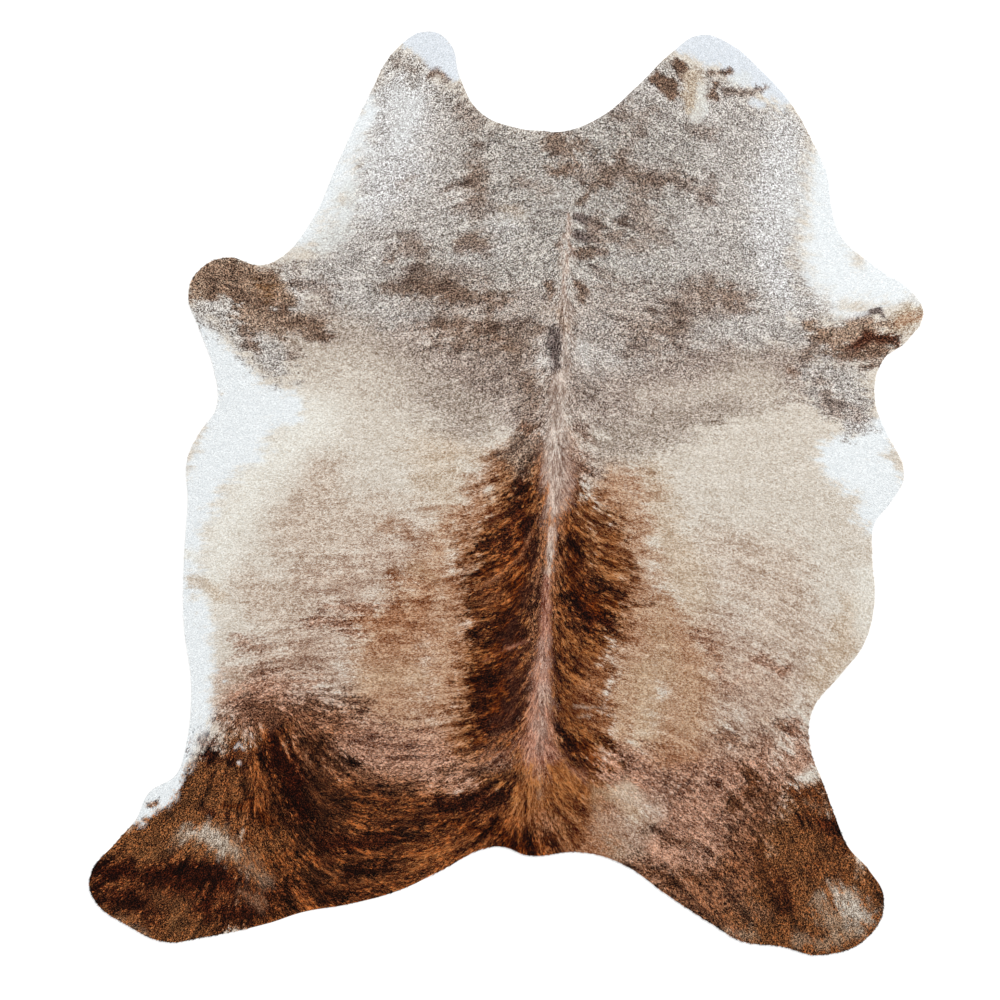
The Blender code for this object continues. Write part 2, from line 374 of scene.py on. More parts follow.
NECK_MARKS = (
    # left side
    ("taupe fleck", 0.6, 1.5, (-25, 99, 2.6), (-21.5, 98, 2.4), (-22, 95.5, 2)),
    ("umber fleck", 0.5, 2, (-24.5, 99, 1.5), (-21, 97.5, 1.2)),
    ("bark", 0.7, 1, (-17.5, 96, 0.7), (-15.5, 97, 0.8), (-14, 95.5, 0.6)),
    ("umber fleck", 0.6, 4, (-10, 88, 2), (-7, 84, 2)),
    ("umber fleck", 0.7, 4, (-6, 76, 2.5), (-8, 70, 4), (-7, 65, 3)),
    ("umber fleck", 0.4, 3, (-14, 68.5, 1.2), (-11, 67, 1.5)),
    ("bark", 0.4, 3, (-7, 74, 2), (-7, 69, 2)),
    ("umber fleck", 0.5, 2, (-25, 71, 1), (-22, 72, 1)),
    ("umber fleck", 0.6, 3, (4, 72, 1.2), (9, 70, 1.8)),
    ("bark", 0.5, 4, (-25, 56, 2), (-21, 57, 2), (-18, 54, 2)),
    ("bark", 0.6, 1, (-28, 53.5, 0.6), (-26.5, 53.5, 0.8)),
    ("bark", 0.7, 2.5, (-10, 57.5, 2), (-6, 57.5, 2.5)),
    ("bark", 0.7, 3, (-28, 47, 1.2), (-22, 48.5, 2), (-16, 47.5, 3), (-10, 46, 3), (-1, 44, 2)),
    ("umber fleck", 0.6, 4, (-24, 50, 1.5), (-18, 52, 3), (-8, 49, 3)),
    ("light taupe", 0.6, 2, (-26.5, 50.8, 0.8), (-24, 50.6, 1)),
    ("grey fleck", 0.5, 3, (-4, 62, 1.5), (3, 61, 2)),
    ("grey fleck", 0.3, 4, (-12, 54, 2), (0, 56, 2)),
    ("light taupe", 0.5, 3, (-33, 44.5, 1.5), (-27, 42.5, 1.5)),
    ("umber fleck", 0.8, 5, (-22, 38, 2.5), (-10, 37, 5), (2, 35, 5)),
    ("bark", 0.7, 3, (-19, 38.5, 1.5), (-12, 38, 2.2), (-4, 38.5, 2), (0, 35, 1.5)),
    ("light taupe", 0.9, 3, (-26, 40.5, 2), (-19, 41.3, 1.5)),
    ("light taupe", 0.5, 3, (-31, 50.5, 1.5), (-27, 50, 1)),
    ("bark", 0.6, 3, (-17, 36.5, 1.8), (-8, 36, 2), (3, 35, 2)),
    ("bark", 0.5, 3, (-20, 47.5, 2), (-11, 46.5, 2)),
    ("bark", 0.6, 1.5, (3, 37, 1), (8.5, 38, 1.2)),
    ("rust fleck", 0.4, 1.5, (0, 33.2, 0.6), (4, 32.5, 0.8)),
    ("umber fleck", 0.8, 4, (4, 37, 3), (6, 31, 3), (6, 24, 3)),
    # beside the line of the back
    ("sand", 0.4, 1.5, (0, 65.5, 1), (3, 64.5, 1.3)),
    ("warm white", 0.3, 2, (9, 67.8, 0.8), (13, 69.5, 0.8), (12, 67, 1)),
    ("warm white", 0.4, 0.9, (-1, 62, 0.4), (4, 64, 0.4), (8, 65.6, 0.4), (13, 65.4, 0.4)),
    ("black fleck", 0.6, 0.8, (8, 64.7, 0.4), (12, 64.6, 0.4)),
    ("bark", 0.8, 1.5, (10, 74, 1), (14, 74.5, 1.5), (17, 75.5, 1)),
    ("bark", 0.7, 3, (11, 81, 2.5), (14, 79, 2.5), (17, 80, 1.5)),
    ("black fleck", 0.9, 0.8, (16.5, 63.4, 1.1), (19, 62.8, 1.6), (21.5, 62, 0.9)),
    ("black fleck", 0.9, 0.8, (16.3, 59.6, 1.1), (18.5, 59.2, 1.4), (21, 58.6, 0.8)),
    ("bark", 0.8, 1.2, (16.5, 55.6, 1), (19, 55.4, 1.2), (23, 56, 0.8)),
    ("bark", 0.8, 1, (17, 67, 1), (18.5, 68.5, 0.8)),
    ("warm white", 0.4, 0.9, (15, 65.2, 0.4), (20, 65.6, 0.4), (25, 65, 0.4)),
    ("umber fleck", 0.9, 3, (20, 62.5, 2), (22, 59, 2), (26, 60, 1)),
    ("bark", 0.7, 0.8, (12, 57, 0.8)),
    ("bark", 0.8, 1.2, (9.5, 48, 0.8), (11, 46.5, 1), (10, 44.5, 0.7)),
    ("bark", 0.8, 1.2, (16, 48.5, 1), (17.5, 46.5, 1.7), (17.5, 44.5, 1.1)),
    ("oat", 0.6, 2, (9, 42, 1.5), (10, 38, 1)),
    ("black fleck", 0.8, 1.5, (11, 37, 1), (11, 35, 1.4), (11.5, 31.5, 1)),
    ("warm white", 0.5, 2, (18, 34, 1.2), (18, 30, 1.2)),
    ("bark", 0.5, 3, (5, 25, 1.5), (7, 20, 2.5), (6, 15, 2)),
    # right side
    ("umber fleck", 0.7, 4, (18, 74, 2), (24, 74, 3), (34, 72, 3), (39, 73, 2)),
    ("bark", 0.5, 2.5, (20, 70, 1.2), (26, 76, 1.8), (31, 73, 1.6), (37, 72, 1.2)),
    ("umber fleck", 0.7, 4, (29, 68, 2), (32, 64, 3.5), (34, 59, 3), (28, 57, 2)),
    ("light taupe", 0.6, 2.5, (32, 76, 1.2), (36, 75.4, 1.2)),
    ("light taupe", 0.6, 2.5, (19, 38.5, 1.2), (23, 38.5, 1.5)),
    ("umber fleck", 0.6, 4, (26, 88, 1.5), (32, 87, 1.5), (30, 84, 2), (28, 80, 1.5)),
    ("umber fleck", 0.6, 3, (41, 71.5, 1.5), (46, 69, 2)),
    ("taupe fleck", 0.5, 4, (55, 53, 3), (58, 50, 2)),
    ("umber fleck", 0.5, 2.5, (42, 84, 1), (47, 83, 1.5)),
    ("umber fleck", 0.5, 2, (31, 88.5, 0.8), (35, 88.5, 0.8)),
    ("grey fleck", 0.3, 4, (25, 54, 2), (32, 53, 2)),
    ("light taupe", 0.6, 4, (38, 53, 2), (44, 52, 2)),
    ("umber fleck", 0.5, 3, (21, 51, 1.2), (28, 47.5, 1.5)),
    ("umber fleck", 0.8, 5, (40, 44, 3), (47, 46, 4), (54, 44, 3)),
    ("bark", 0.4, 4, (45, 46, 2), (52, 45, 3), (53, 41, 1.5)),
    ("umber fleck", 0.6, 4, (30, 39, 3), (40, 39, 2.5)),
    ("bark", 0.4, 2.5, (31, 37.5, 1.4), (36, 37, 1.6), (41, 38.5, 1.4)),
    ("light taupe", 0.7, 4, (45, 37, 2), (50, 38, 2)),
    ("umber fleck", 0.6, 3, (28, 33, 1.5), (40, 33, 2)),
    # patches behind the right ear
    ("bark", 0.95, 0.8, (39.5, 99.4, 0.8), (41, 98.3, 1.4), (41, 96, 1.2)),
    ("bark", 0.95, 0.8, (34.8, 95.6, 1.4), (37.5, 93.8, 2.2), (38.5, 91.2, 1.2)),
    ("pale tan", 1.0, 1.5, (43, 95.5, 2), (43.5, 91, 2.6), (43, 88.5, 2)),
    ("warm white", 0.75, 1.5, (45, 93, 1.1), (45.5, 88.5, 1.4), (43.5, 86.8, 1.1)),
    ("light taupe", 0.6, 4, (38, 87, 2), (37, 82, 2)),
    ("warm white", 0.5, 1.5, (52.5, 95, 1), (55, 95.5, 1.5)),
    ("bark", 0.9, 0.8, (47.5, 97, 0.6), (49.5, 96.8, 0.9), (51.5, 97.2, 0.6)),
    ("bark", 0.9, 0.8, (48.3, 94.4, 0.4), (47.4, 91.8, 0.9), (48.5, 90.8, 0.8)),
    ("umber fleck", 0.8, 1, (50.5, 92.5, 0.5), (55, 92.2, 0.6), (59.5, 93.2, 0.5)),
    ("cool white", 0.9, 0.8, (57, 90.3, 0.7), (58.8, 89.6, 0.9)),
)
LEG_MARKS = (
    # left foreleg
    ("light taupe", 1.0, 4, (-68, 43, 4), (-58, 41, 6), (-50, 46, 6), (-43, 50, 3)),
    ("light taupe", 1.0, 3.5, (-60, 38, 4), (-56, 33, 4), (-52, 29, 3)),
    ("leg bark", 1.0, 2.5, (-72, 49, 4), (-64, 50, 5.5), (-57, 47, 5.5), (-51, 45, 3)),
    ("leg bark", 0.9, 3, (-59, 42, 4), (-50, 39, 3), (-43, 38.5, 2.2)),
    ("bark", 0.8, 3, (-62, 46, 2), (-56, 43.5, 2.5), (-51, 42, 1.5)),
    ("bark", 0.6, 2.5, (-69, 51.5, 1.5), (-63, 51, 2), (-56, 50, 1.8)),
    ("bark", 0.7, 2, (-61, 38.5, 1.2), (-58.5, 34, 1.6), (-57.5, 32.5, 0.8)),
    ("bark", 0.6, 2, (-51, 39, 1.2), (-46, 39, 1.8), (-42, 37.5, 1)),
    ("bark", 0.4, 2, (-50, 29.5, 1), (-49, 32, 1.2)),
    ("rust fleck", 0.8, 2, (-57.5, 48, 1), (-54.5, 46, 1.6)),
    ("mushroom", 0.6, 3, (-48, 50.5, 1), (-46, 44, 1.6), (-42, 42, 1.5)),
    ("bark", 0.75, 3, (-67, 46.5, 1.8), (-61, 44.5, 2)),
    ("umber fleck", 0.7, 3, (-48, 47, 1.5), (-42, 46.5, 1.8)),
    # right foreleg
    ("light taupe", 1.0, 3.5, (68, 36, 3), (75, 35, 5), (82, 36, 4)),
    ("light taupe", 1.0, 3, (70, 28, 3), (75, 24, 5), (79, 20, 5), (79, 17, 3)),
    ("pale tan", 1.0, 1.5, (88, 37, 1.5), (92, 40, 2.5), (94, 43, 2.6)),
    ("leg bark", 0.9, 2.5, (71, 38, 2), (76, 35, 2.5), (82, 37, 4), (86, 34, 3)),
    ("bark", 0.6, 2.5, (69, 31, 1.5), (72, 36, 2), (76, 34, 1.5)),
    ("near black", 0.7, 2, (80, 33, 1.3), (83, 36, 1.6), (89, 35.5, 1.2)),
    ("bark", 0.85, 2, (77, 31, 1.4), (83, 31.5, 2), (88, 33, 1.3)),
    ("black fleck", 0.8, 0.6, (81, 40.5, 0.4), (84, 41.5, 0.5), (86, 42, 0.6), (87, 40.6, 0.4)),
    ("tan", 0.7, 1.5, (90, 39, 0.8), (93, 40.5, 1), (95.5, 40.5, 0.8)),
    ("leg bark", 0.7, 2, (84, 38.8, 1), (88, 38.5, 1)),
    ("white", 0.8, 1.5, (76.5, 41.5, 1.2), (82, 41.3, 0.8)),
    ("white", 0.8, 1.5, (91, 45.2, 1.2), (94.5, 44.2, 1.4)),
    ("grey fleck", 0.85, 3, (79, 16, 2), (82, 16, 1.5)),
    ("bark", 0.4, 2.5, (71, 26, 1.5), (75, 25.5, 1), (74, 22, 2), (77, 18, 2), (81, 17.5, 1)),
    ("umber rose", 0.5, 1.5, (65, 28.5, 0.7), (67, 27.5, 0.8)),
    # left hind leg
    ("dark chestnut", 0.8, 4, (-95, -88, 4), (-88, -88, 4), (-76, -89, 5), (-64, -90, 5)),
    ("near black", 1.0, 3, (-97, -88, 3), (-92, -87.5, 3), (-86, -87, 2)),
    ("near black", 0.95, 4, (-81, -88, 3), (-74, -88, 4), (-64, -89, 3), (-60, -90, 1.5)),
    ("dark chestnut", 0.9, 4, (-72, -96, 3), (-62, -97, 4), (-52, -94, 3), (-48, -88, 2)),
    ("dark chestnut", 0.7, 4, (-90, -94, 3), (-80, -96, 2.5)),
    ("dark chestnut", 0.6, 3, (-84, -99, 1.5), (-76, -101, 1.5)),
    ("near black", 0.8, 3, (-71, -95, 1.5), (-64, -96, 3), (-56, -97, 1.2)),
    ("near black", 0.7, 3, (-93, -91, 2), (-86, -94, 2.5), (-82, -99, 1.5)),
    ("near black", 0.7, 3, (-68, -74, 1), (-59, -75, 1.8)),
    ("near black", 0.5, 5, (-94, -92, 2), (-78, -93, 3), (-62, -93, 3), (-46, -92, 3),
        (-33, -92, 2)),
    ("dark chestnut", 0.5, 4, (-67, -66, 2), (-62, -69, 2)),
    ("rust fleck", 0.6, 2, (-84, -84, 1.2), (-79, -83.5, 1)),
    ("rust fleck", 0.6, 3, (-80, -93, 1.5), (-74, -95, 2), (-76, -99, 2)),
    ("pale tan", 0.4, 2, (-89, -98.5, 0.8), (-83, -101.5, 0.8)),
    ("pale tan", 0.5, 5, (-73, -79, 2.5), (-67, -79, 3), (-60, -84, 2.5), (-56, -89, 2)),
    ("leg grey", 0.85, 3.5, (-72, -78, 1.2), (-68, -79, 2), (-65, -81, 1.5)),
    ("pale tan", 0.4, 3, (-63, -83, 1.2), (-59, -86.5, 1.2)),
    ("tan", 0.6, 2.5, (-61, -92, 1), (-56.5, -94.5, 1.2)),
    ("near black", 0.9, 2.5, (-70.5, -60.5, 1), (-68, -61, 1.8), (-64, -61, 1)),
    ("near black", 0.5, 3, (-70, -57.5, 1), (-60, -60, 2)),
    ("cocoa", 0.9, 5, (-44, -58, 2), (-43, -68, 5), (-40, -79, 5)),
    ("near black", 1.0, 3.5, (-54, -56, 2.5), (-51, -63, 4), (-47, -71, 4), (-45, -79, 3),
        (-41, -85, 2)),
    ("cocoa", 0.7, 3, (-49, -93, 1.5), (-43, -92, 1.5)),
    ("burnt rust", 0.8, 2, (-65, -72, 1), (-58, -72.5, 1.5), (-55, -76, 1)),
    ("chestnut", 0.7, 4, (-60, -76, 2), (-55, -82, 2.5), (-51, -80, 2)),
    ("white", 0.8, 0.5, (-65.5, -59.8, 0.4), (-64.5, -59.2, 0.3)),
    ("white", 0.8, 0.5, (-62.5, -58.6, 0.5), (-61.5, -57.8, 0.3), (-60.5, -58.8, 0.5)),
    ("white", 0.8, 0.5, (-59, -55.5, 0.4), (-58, -56.5, 0.3)),
    ("white", 0.8, 0.5, (-61.5, -62.2, 0.4)),
    ("chestnut", 0.9, 0.8, (-82.3, -71.8, 0.6), (-80.8, -71.4, 0.7)),
    ("chestnut", 0.9, 0.8, (-83.6, -75, 0.6), (-81, -75.6, 0.6), (-79, -73.6, 0.6)),
    # right hind leg
    ("dark chestnut", 0.9, 3, (66, -68, 2.5), (71, -70, 3), (73, -75, 4), (78, -82, 2.5)),
    ("near black", 0.7, 2, (68, -75.5, 1.5), (73, -76, 2), (76, -78, 1.2)),
    ("dark chestnut", 0.7, 4, (58, -82, 2), (60, -89, 3), (65, -95, 3.5)),
    ("near black", 0.5, 3, (64, -90, 1.5), (65, -95, 1.5)),
    ("chestnut", 0.7, 4, (48, -97, 2), (56, -98, 3), (60, -102, 3)),
    ("chestnut", 0.8, 4, (62, -80, 2), (70, -81, 3), (78, -86, 2), (85, -91, 1.5)),
    ("chestnut", 0.9, 3, (70, -93, 2), (70, -100, 3), (80, -103, 2.5)),
    ("dark chestnut", 0.8, 3, (71, -87, 1.5), (77, -88, 1.8)),
    ("dark chestnut", 0.6, 3, (67, -102, 2), (72, -102.5, 1.5)),
    ("rose brown", 0.4, 3, (54, -96, 2), (58, -96.5, 1.5)),
    ("pale tan", 0.5, 2, (66, -103, 1.2), (74, -104, 1.5), (82, -101, 1.5)),
    ("pale tan", 0.5, 2, (51, -101, 0.8), (57, -102, 1)),
    ("pale tan", 0.5, 5, (72, -95.5, 2), (76, -98, 3)),
    ("leg grey", 0.95, 4, (76, -91.5, 1.8), (78.5, -94.5, 2.6), (82.5, -98, 2)),
    ("leg grey", 0.3, 3, (72, -94, 1.5), (75, -98, 1.5)),
    ("rose beige", 0.3, 2.5, (63, -62.5, 1), (66, -64, 1)),
    ("pale tan", 0.4, 1.5, (70, -71, 1), (73, -73, 1)),
)
BACK_MARKS = (
    # under and beside the line of the back
    ("rust", 1.0, 5, (8, 3, 5), (8, -4, 9), (8, -12, 14), (7, -28, 16.5), (6.5, -50, 16),
        (6, -60, 13)),
    ("rust", 1.0, 5, (6, -60, 12), (2, -66, 9), (14, -68, 7)),
    ("mushroom", 0.9, 5, (8, 15, 3), (12, 9, 6), (16, 5, 5), (20, 5, 2)),
    ("rose brown", 0.5, 4, (14, 12, 3), (17, 5, 3)),
    ("umber rose", 0.9, 4, (12, 2, 6), (11, -8, 5), (10, -20, 6), (9, -42, 7)),
    ("umber rose", 0.8, 3, (6, 14, 2), (8, 9, 2.5), (7, 2, 2)),
    ("pink brown", 0.9, 5, (9, -44, 5), (8, -56, 7)),
    # left of the line of the back
    ("honey", 0.7, 6, (0, 9, 2), (-6, 0, 3), (-8, -10, 4), (-9.5, -24, 3.5), (-9.5, -38, 3.5),
        (-11, -56, 5)),
    ("rust", 0.8, 6, (3, 10, 2), (0, 2, 4), (-2, -8, 5), (-3, -20, 6), (-3, -36, 5.5),
        (-4, -44, 7), (-5, -56, 8)),
    ("deep rust", 0.85, 5, (5, 6, 1.5), (3, -2, 3), (1, -10, 5), (0, -26, 5.5), (0, -36, 5),
        (-2, -44, 7), (-2, -56, 7)),
    ("umber fleck", 0.8, 4, (6, 12, 2), (2, 9, 2.5), (4, 4, 2)),
    ("burnt rust", 0.7, 4, (5, 2, 1), (4, -8, 2.5), (2, -24, 3), (0, -34, 4), (-2, -50, 5)),
    ("near black", 0.8, 2.5, (3, 3, 1), (2.8, -3, 1.6), (1, -9, 2), (-1, -14, 1.5)),
    ("near black", 0.8, 2, (5, -4, 1.2), (5, -10, 1.4), (4, -13, 1)),
    ("deep rust", 0.8, 3, (-3, -12, 2), (-5, -18, 2.5), (-6, -27, 2.5), (-8, -30, 2), (-6, -34, 2)),
    ("rust", 0.6, 4, (-11, -12, 1.2), (-8, -14, 2)),
    ("honey", 0.7, 3, (-6, -5.5, 1.6), (-2, -4.5, 1.4)),
    ("near black", 0.6, 3, (-2, -11, 1), (-6, -12, 1.2)),
    ("burnt rust", 0.8, 1.5, (5, -17, 0.8), (2, -21, 1)),
    ("burnt rust", 0.7, 2, (-1, -16, 1.5), (-7, -19, 1.5)),
    ("near black", 0.5, 2, (0, -28, 1), (-6, -31, 1.5)),
    ("near black", 0.7, 4, (-4, -41, 2), (-5, -45, 2.4), (-6, -52, 2.4), (-3, -54, 2.5)),
    ("burnt rust", 0.8, 3, (-4, -38, 1.2), (-8, -44, 1), (-9, -52, 1), (-6, -58, 2)),
    ("blue black", 0.9, 2.5, (6.5, -13, 0.7), (6, -20, 1), (4, -26, 2), (2, -31, 2.2),
        (0, -34, 1.5)),
    ("blue black", 0.9, 3, (4, -36, 1.5), (1, -40, 3), (2, -46, 3), (0, -53, 3)),
    ("umber rose", 0.6, 3, (2, -56, 2), (-4, -59, 2.5), (-8, -61, 2)),
    ("honey", 0.8, 1, (6, -9, 0.4), (3, -15, 0.5), (-3, -20, 0.5), (-7, -22, 0.4)),
    ("rust", 0.6, 1, (2, -3, 0.4), (-4, -6.5, 0.5), (-9, -8, 0.4)),
    ("honey", 0.5, 1, (0, -23, 0.4), (-6, -25.5, 0.4)),
    ("pink brown", 0.8, 0.8, (5, -34, 0.4), (0, -36, 0.4), (-5, -38.5, 0.4)),
    ("rust", 0.6, 0.8, (4, -40.5, 0.4), (0, -42.5, 0.4)),
    # right of the line of the back
    ("rust", 0.8, 3, (18, 1, 1.2), (20, -3, 1.5)),
    ("rust", 0.9, 6, (17, -3, 2), (22, -6, 4), (23, -18, 6), (21, -29, 6)),
    ("rust", 1.0, 6, (16, -10, 3), (16, -34, 6.5), (15.5, -46, 6), (17, -58, 6)),
    ("honey", 0.7, 5, (20, -41, 2.5), (19, -46, 3.5), (21, -52, 2.5)),
    ("deep rust", 1.0, 4, (14, -5, 1.5), (16, -14, 3), (18, -24, 6), (19, -29, 5)),
    ("burnt rust", 0.8, 3, (14, -8, 1.2), (16, -14, 1.5), (15, -21, 2.5), (21, -28, 3)),
    ("near black", 0.8, 2.5, (14, -23, 1), (17, -26, 1.5), (20, -29.5, 2), (24, -30, 2)),
    ("deep rust", 0.8, 2, (12.5, -22, 0.8), (12, -29, 1)),
    ("deep rust", 0.7, 2, (18, -12, 1), (22, -15, 1)),
    ("near black", 0.5, 2, (19, -18, 0.8), (23, -21.5, 0.8), (27, -24.5, 0.8)),
    ("burnt rust", 0.5, 1.5, (21, -15, 0.8), (26, -16.5, 0.6), (29, -17, 0.4)),
    ("burnt rust", 0.5, 1.5, (20, -6, 0.6), (24, -7.5, 0.5), (27, -8.5, 0.3)),
    ("burnt rust", 0.7, 2, (24, -25, 1), (29, -26, 0.8), (33, -26.5, 0.4)),
    ("burnt rust", 0.6, 2, (12, -33, 0.6), (13, -40, 0.8), (18, -42, 0.6)),
    ("deep rust", 0.6, 3, (13, -30, 1), (12.5, -38, 1.5), (13, -46, 1)),
    ("deep rust", 0.9, 3, (13, -54, 1), (15, -58, 2.5), (20, -61, 3.4), (24, -63, 1.8)),
    ("near black", 0.8, 1.5, (11.5, -54, 0.8), (14, -57.5, 1.2), (16, -58.5, 0.6)),
    ("burnt rust", 0.9, 2.5, (15, -57, 1.2), (19, -60, 2.2), (23, -62.5, 1.4)),
    ("deep rust", 0.8, 3, (19, -61.5, 2), (24, -64.5, 1.5)),
    ("rust", 0.8, 3, (10, -66, 1.5), (18, -66.5, 1.8), (25, -68, 1.2)),
    # pale scars on the right
    ("pink cream", 0.8, 0.5, (15.5, -49, 0.3), (23, -49.6, 0.3)),
    ("pink cream", 0.6, 0.5, (16.5, -51.6, 0.25), (19.5, -51.2, 0.25)),
    # the line itself
    ("pink cream", 0.7, 2, (14.4, 63, 0.8), (14, 55, 1.4), (13.6, 46, 1.1)),
    ("pink taupe", 0.5, 1, (14.5, 64, 0.4), (14, 54, 0.6), (13.5, 46, 0.7)),
    ("pink cream", 0.8, 2, (13.6, 43, 2), (13, 38, 2), (13, 30, 1.3), (12.6, 26, 1.5)),
    ("rust fleck", 0.25, 1.5, (12, 42, 1), (14, 38, 1)),
    ("black fleck", 0.8, 2, (10.5, 38.5, 1), (11.2, 34, 1.8), (11, 29, 1.2)),
    ("pink cream", 0.9, 2, (12.6, 26, 1.6), (12.1, 17, 2.2), (11.6, 10, 3), (11.6, 5, 3)),
    ("pink taupe", 0.9, 2.5, (12.5, 6, 3), (11.6, 0, 3.6), (11, -5, 2), (10.6, -8, 1.4)),
    ("pink cream", 0.5, 1, (11.6, 8, 2), (11, -1, 1.5), (10.4, -8, 0.8)),
    ("pink taupe", 0.9, 1, (10.4, -8, 1), (10, -16, 0.9), (9.6, -22, 0.9)),
    ("pink cream", 0.7, 0.8, (10.1, -12, 0.6), (10, -18, 0.7)),
    ("pink brown", 1.0, 1.2, (9.6, -20, 0.8), (9.1, -28, 1), (8.7, -36, 1.4), (8.3, -45, 1.6)),
    ("pink brown", 0.7, 3, (7.8, -52, 2), (7.4, -59, 3.4), (7, -64, 3)),
    ("pink taupe", 0.8, 2.5, (8.6, -34, 0.8), (8.2, -44, 1.4), (8, -50, 1.9), (7.8, -55, 1.9),
        (7.6, -58, 1)),
    ("pink brown", 0.6, 2, (4, -57, 1), (0, -60, 1.2), (-5, -62, 1)),
    ("pink brown", 0.6, 2, (11, -59, 1), (14, -63, 1), (18, -66, 0.8)),
)
RUMP_MARKS = (
    ("umber rose", 0.7, 4, (-40, -64, 3), (-30, -66, 3), (-16, -67, 2)),
    ("rose brown", 0.7, 3, (-30, -61, 1.5), (-21, -64, 2), (-12, -64, 2), (-2, -63, 1.5)),
    ("umber rose", 0.6, 3, (-15, -64.5, 1.2), (-8, -63.5, 1.8), (-3, -64, 1.2)),
    ("cocoa", 0.8, 2, (-4, -66.6, 0.8), (0, -66, 1.3), (3, -65.5, 1)),
    ("umber rose", 0.8, 3, (-64, -52, 1.5), (-58, -54, 1.8)),
    ("cocoa fleck", 0.9, 5, (-60, -51.5, 2.5), (-56, -52, 3.5), (-50, -50, 2)),
    ("umber rose", 0.5, 3, (-41, -62, 1.5), (-36, -62, 1.5)),
    ("cocoa", 0.8, 4, (-45, -58, 2), (-40, -62, 2.5), (-37, -65, 2)),
    ("cocoa", 0.9, 3, (-43, -69, 4), (-32, -68.5, 1.8)),
    ("cocoa", 0.5, 2.5, (-30, -68.5, 1.2), (-20, -66.8, 0.7), (-8, -66.5, 0.8)),
    ("rose brown", 0.6, 3, (-4, -61, 1.5), (2, -61, 1.5)),
    ("near black", 0.8, 3.5, (-16, -72, 2), (-9, -71.5, 3), (-2, -70, 3), (2, -67, 1)),
    ("cocoa", 0.9, 3, (-44, -79, 5), (-32, -80, 4), (-24, -78, 1.6), (-14, -76.5, 1)),
    ("near black", 0.8, 3, (-42, -81, 3), (-34, -81, 3), (-26, -80, 2)),
    ("cocoa", 0.9, 3, (-44, -88, 3), (-32, -87.5, 2.5), (-24, -85.5, 1.5)),
    ("near black", 0.6, 2, (-36, -87.5, 1.6), (-28, -86, 1.2)),
    ("rust", 0.6, 1.5, (-30, -74, 0.6), (-20, -74.5, 0.7), (-10, -75, 0.7), (0, -73, 0.8)),
    ("rust", 0.7, 1.5, (-42, -84, 0.4), (-34, -84, 0.5), (-27, -82, 0.5), (-18, -80, 0.8)),
    ("rust", 0.8, 2, (-42, -91, 0.5), (-30, -90, 0.6), (-22, -87, 0.8)),
    ("rust", 0.8, 2.5, (-22, -86, 1.2), (-15, -83, 1.5), (-8, -80, 1)),
    ("burnt rust", 0.8, 3, (-16, -76, 1), (-8, -77, 2), (-2, -78, 2.5), (3, -81, 2)),
    ("tail tan", 0.8, 4, (6.4, -67, 2), (6, -70, 3), (5.5, -75, 2.4), (5.4, -79, 1.5)),
    ("honey", 0.4, 2, (8, -64, 1), (8, -72, 1)),
    ("burnt rust", 0.8, 3, (0, -82, 2.5), (5, -82, 2.5), (10, -80, 2)),
    ("burnt rust", 0.7, 0.6, (5, -68, 0.25), (4.6, -74, 0.3), (4.8, -80, 0.4)),
    ("pink cream", 0.4, 1, (7.6, -64, 0.4), (7.8, -70, 0.3)),
    ("light tan", 0.8, 4, (21, -69, 1.5), (27, -69.5, 3), (30, -74, 3), (32, -76, 2)),
    ("pale cream", 0.4, 3, (26, -68, 1.5), (30, -71, 2)),
    ("rose beige", 0.7, 5, (24, -76, 3), (30, -80, 3), (34, -74, 3)),
    ("pale tan", 0.6, 4, (24, -82, 1.5), (30, -84, 1.5)),
    ("dark chestnut", 0.7, 3, (56, -64, 1.5), (56.5, -69, 2), (51, -71.5, 1.5)),
    ("umber rose", 0.7, 3, (36, -79, 1.2), (41, -80.5, 1.2)),
    ("umber rose", 0.8, 4, (30, -86, 2), (38, -90, 3), (48, -97, 2)),
    ("dark chestnut", 0.5, 3, (34, -87.5, 1.2), (38, -89.5, 1.2), (48, -88, 1.6), (54, -86, 1.6)),
)


# ---------------------------------------------------------------- the coat, in numbers
def grid_places():
    """Centimetres across and along of every cell of the grid."""
    across = GRID_LOW[0] + CELL * (np.arange(GRID_CELLS[0]) + 0.5)
    along = GRID_LOW[1] + CELL * (np.arange(GRID_CELLS[1]) + 0.5)
    return np.meshgrid(across / CM, along / CM)


def at_places(layer, across, along):
    """A grid layer's values at places in metres, from the nearest cell."""
    column = np.clip((across - GRID_LOW[0]) / CELL, 0, GRID_CELLS[0] - 1).astype(int)
    row = np.clip((along - GRID_LOW[1]) / CELL, 0, GRID_CELLS[1] - 1).astype(int)
    return layer[row, column]


def soft_noise(rng, width):
    """Smooth random layer with blobs of this width in cm, mean 0 and deviation 1."""
    shape = (GRID_CELLS[1], GRID_CELLS[0])
    rows = np.fft.fftfreq(shape[0])[:, None]
    columns = np.fft.rfftfreq(shape[1])[None, :]
    sigma = width * CM / CELL / 2.4  # a blob is 2.4 deviations of the blur wide
    blur = np.exp(-2 * (math.pi * sigma) ** 2 * (rows**2 + columns**2))
    noise = np.fft.irfft2(np.fft.rfft2(rng.standard_normal(shape)) * blur, s=shape)
    return (noise - noise.mean()) / noise.std()


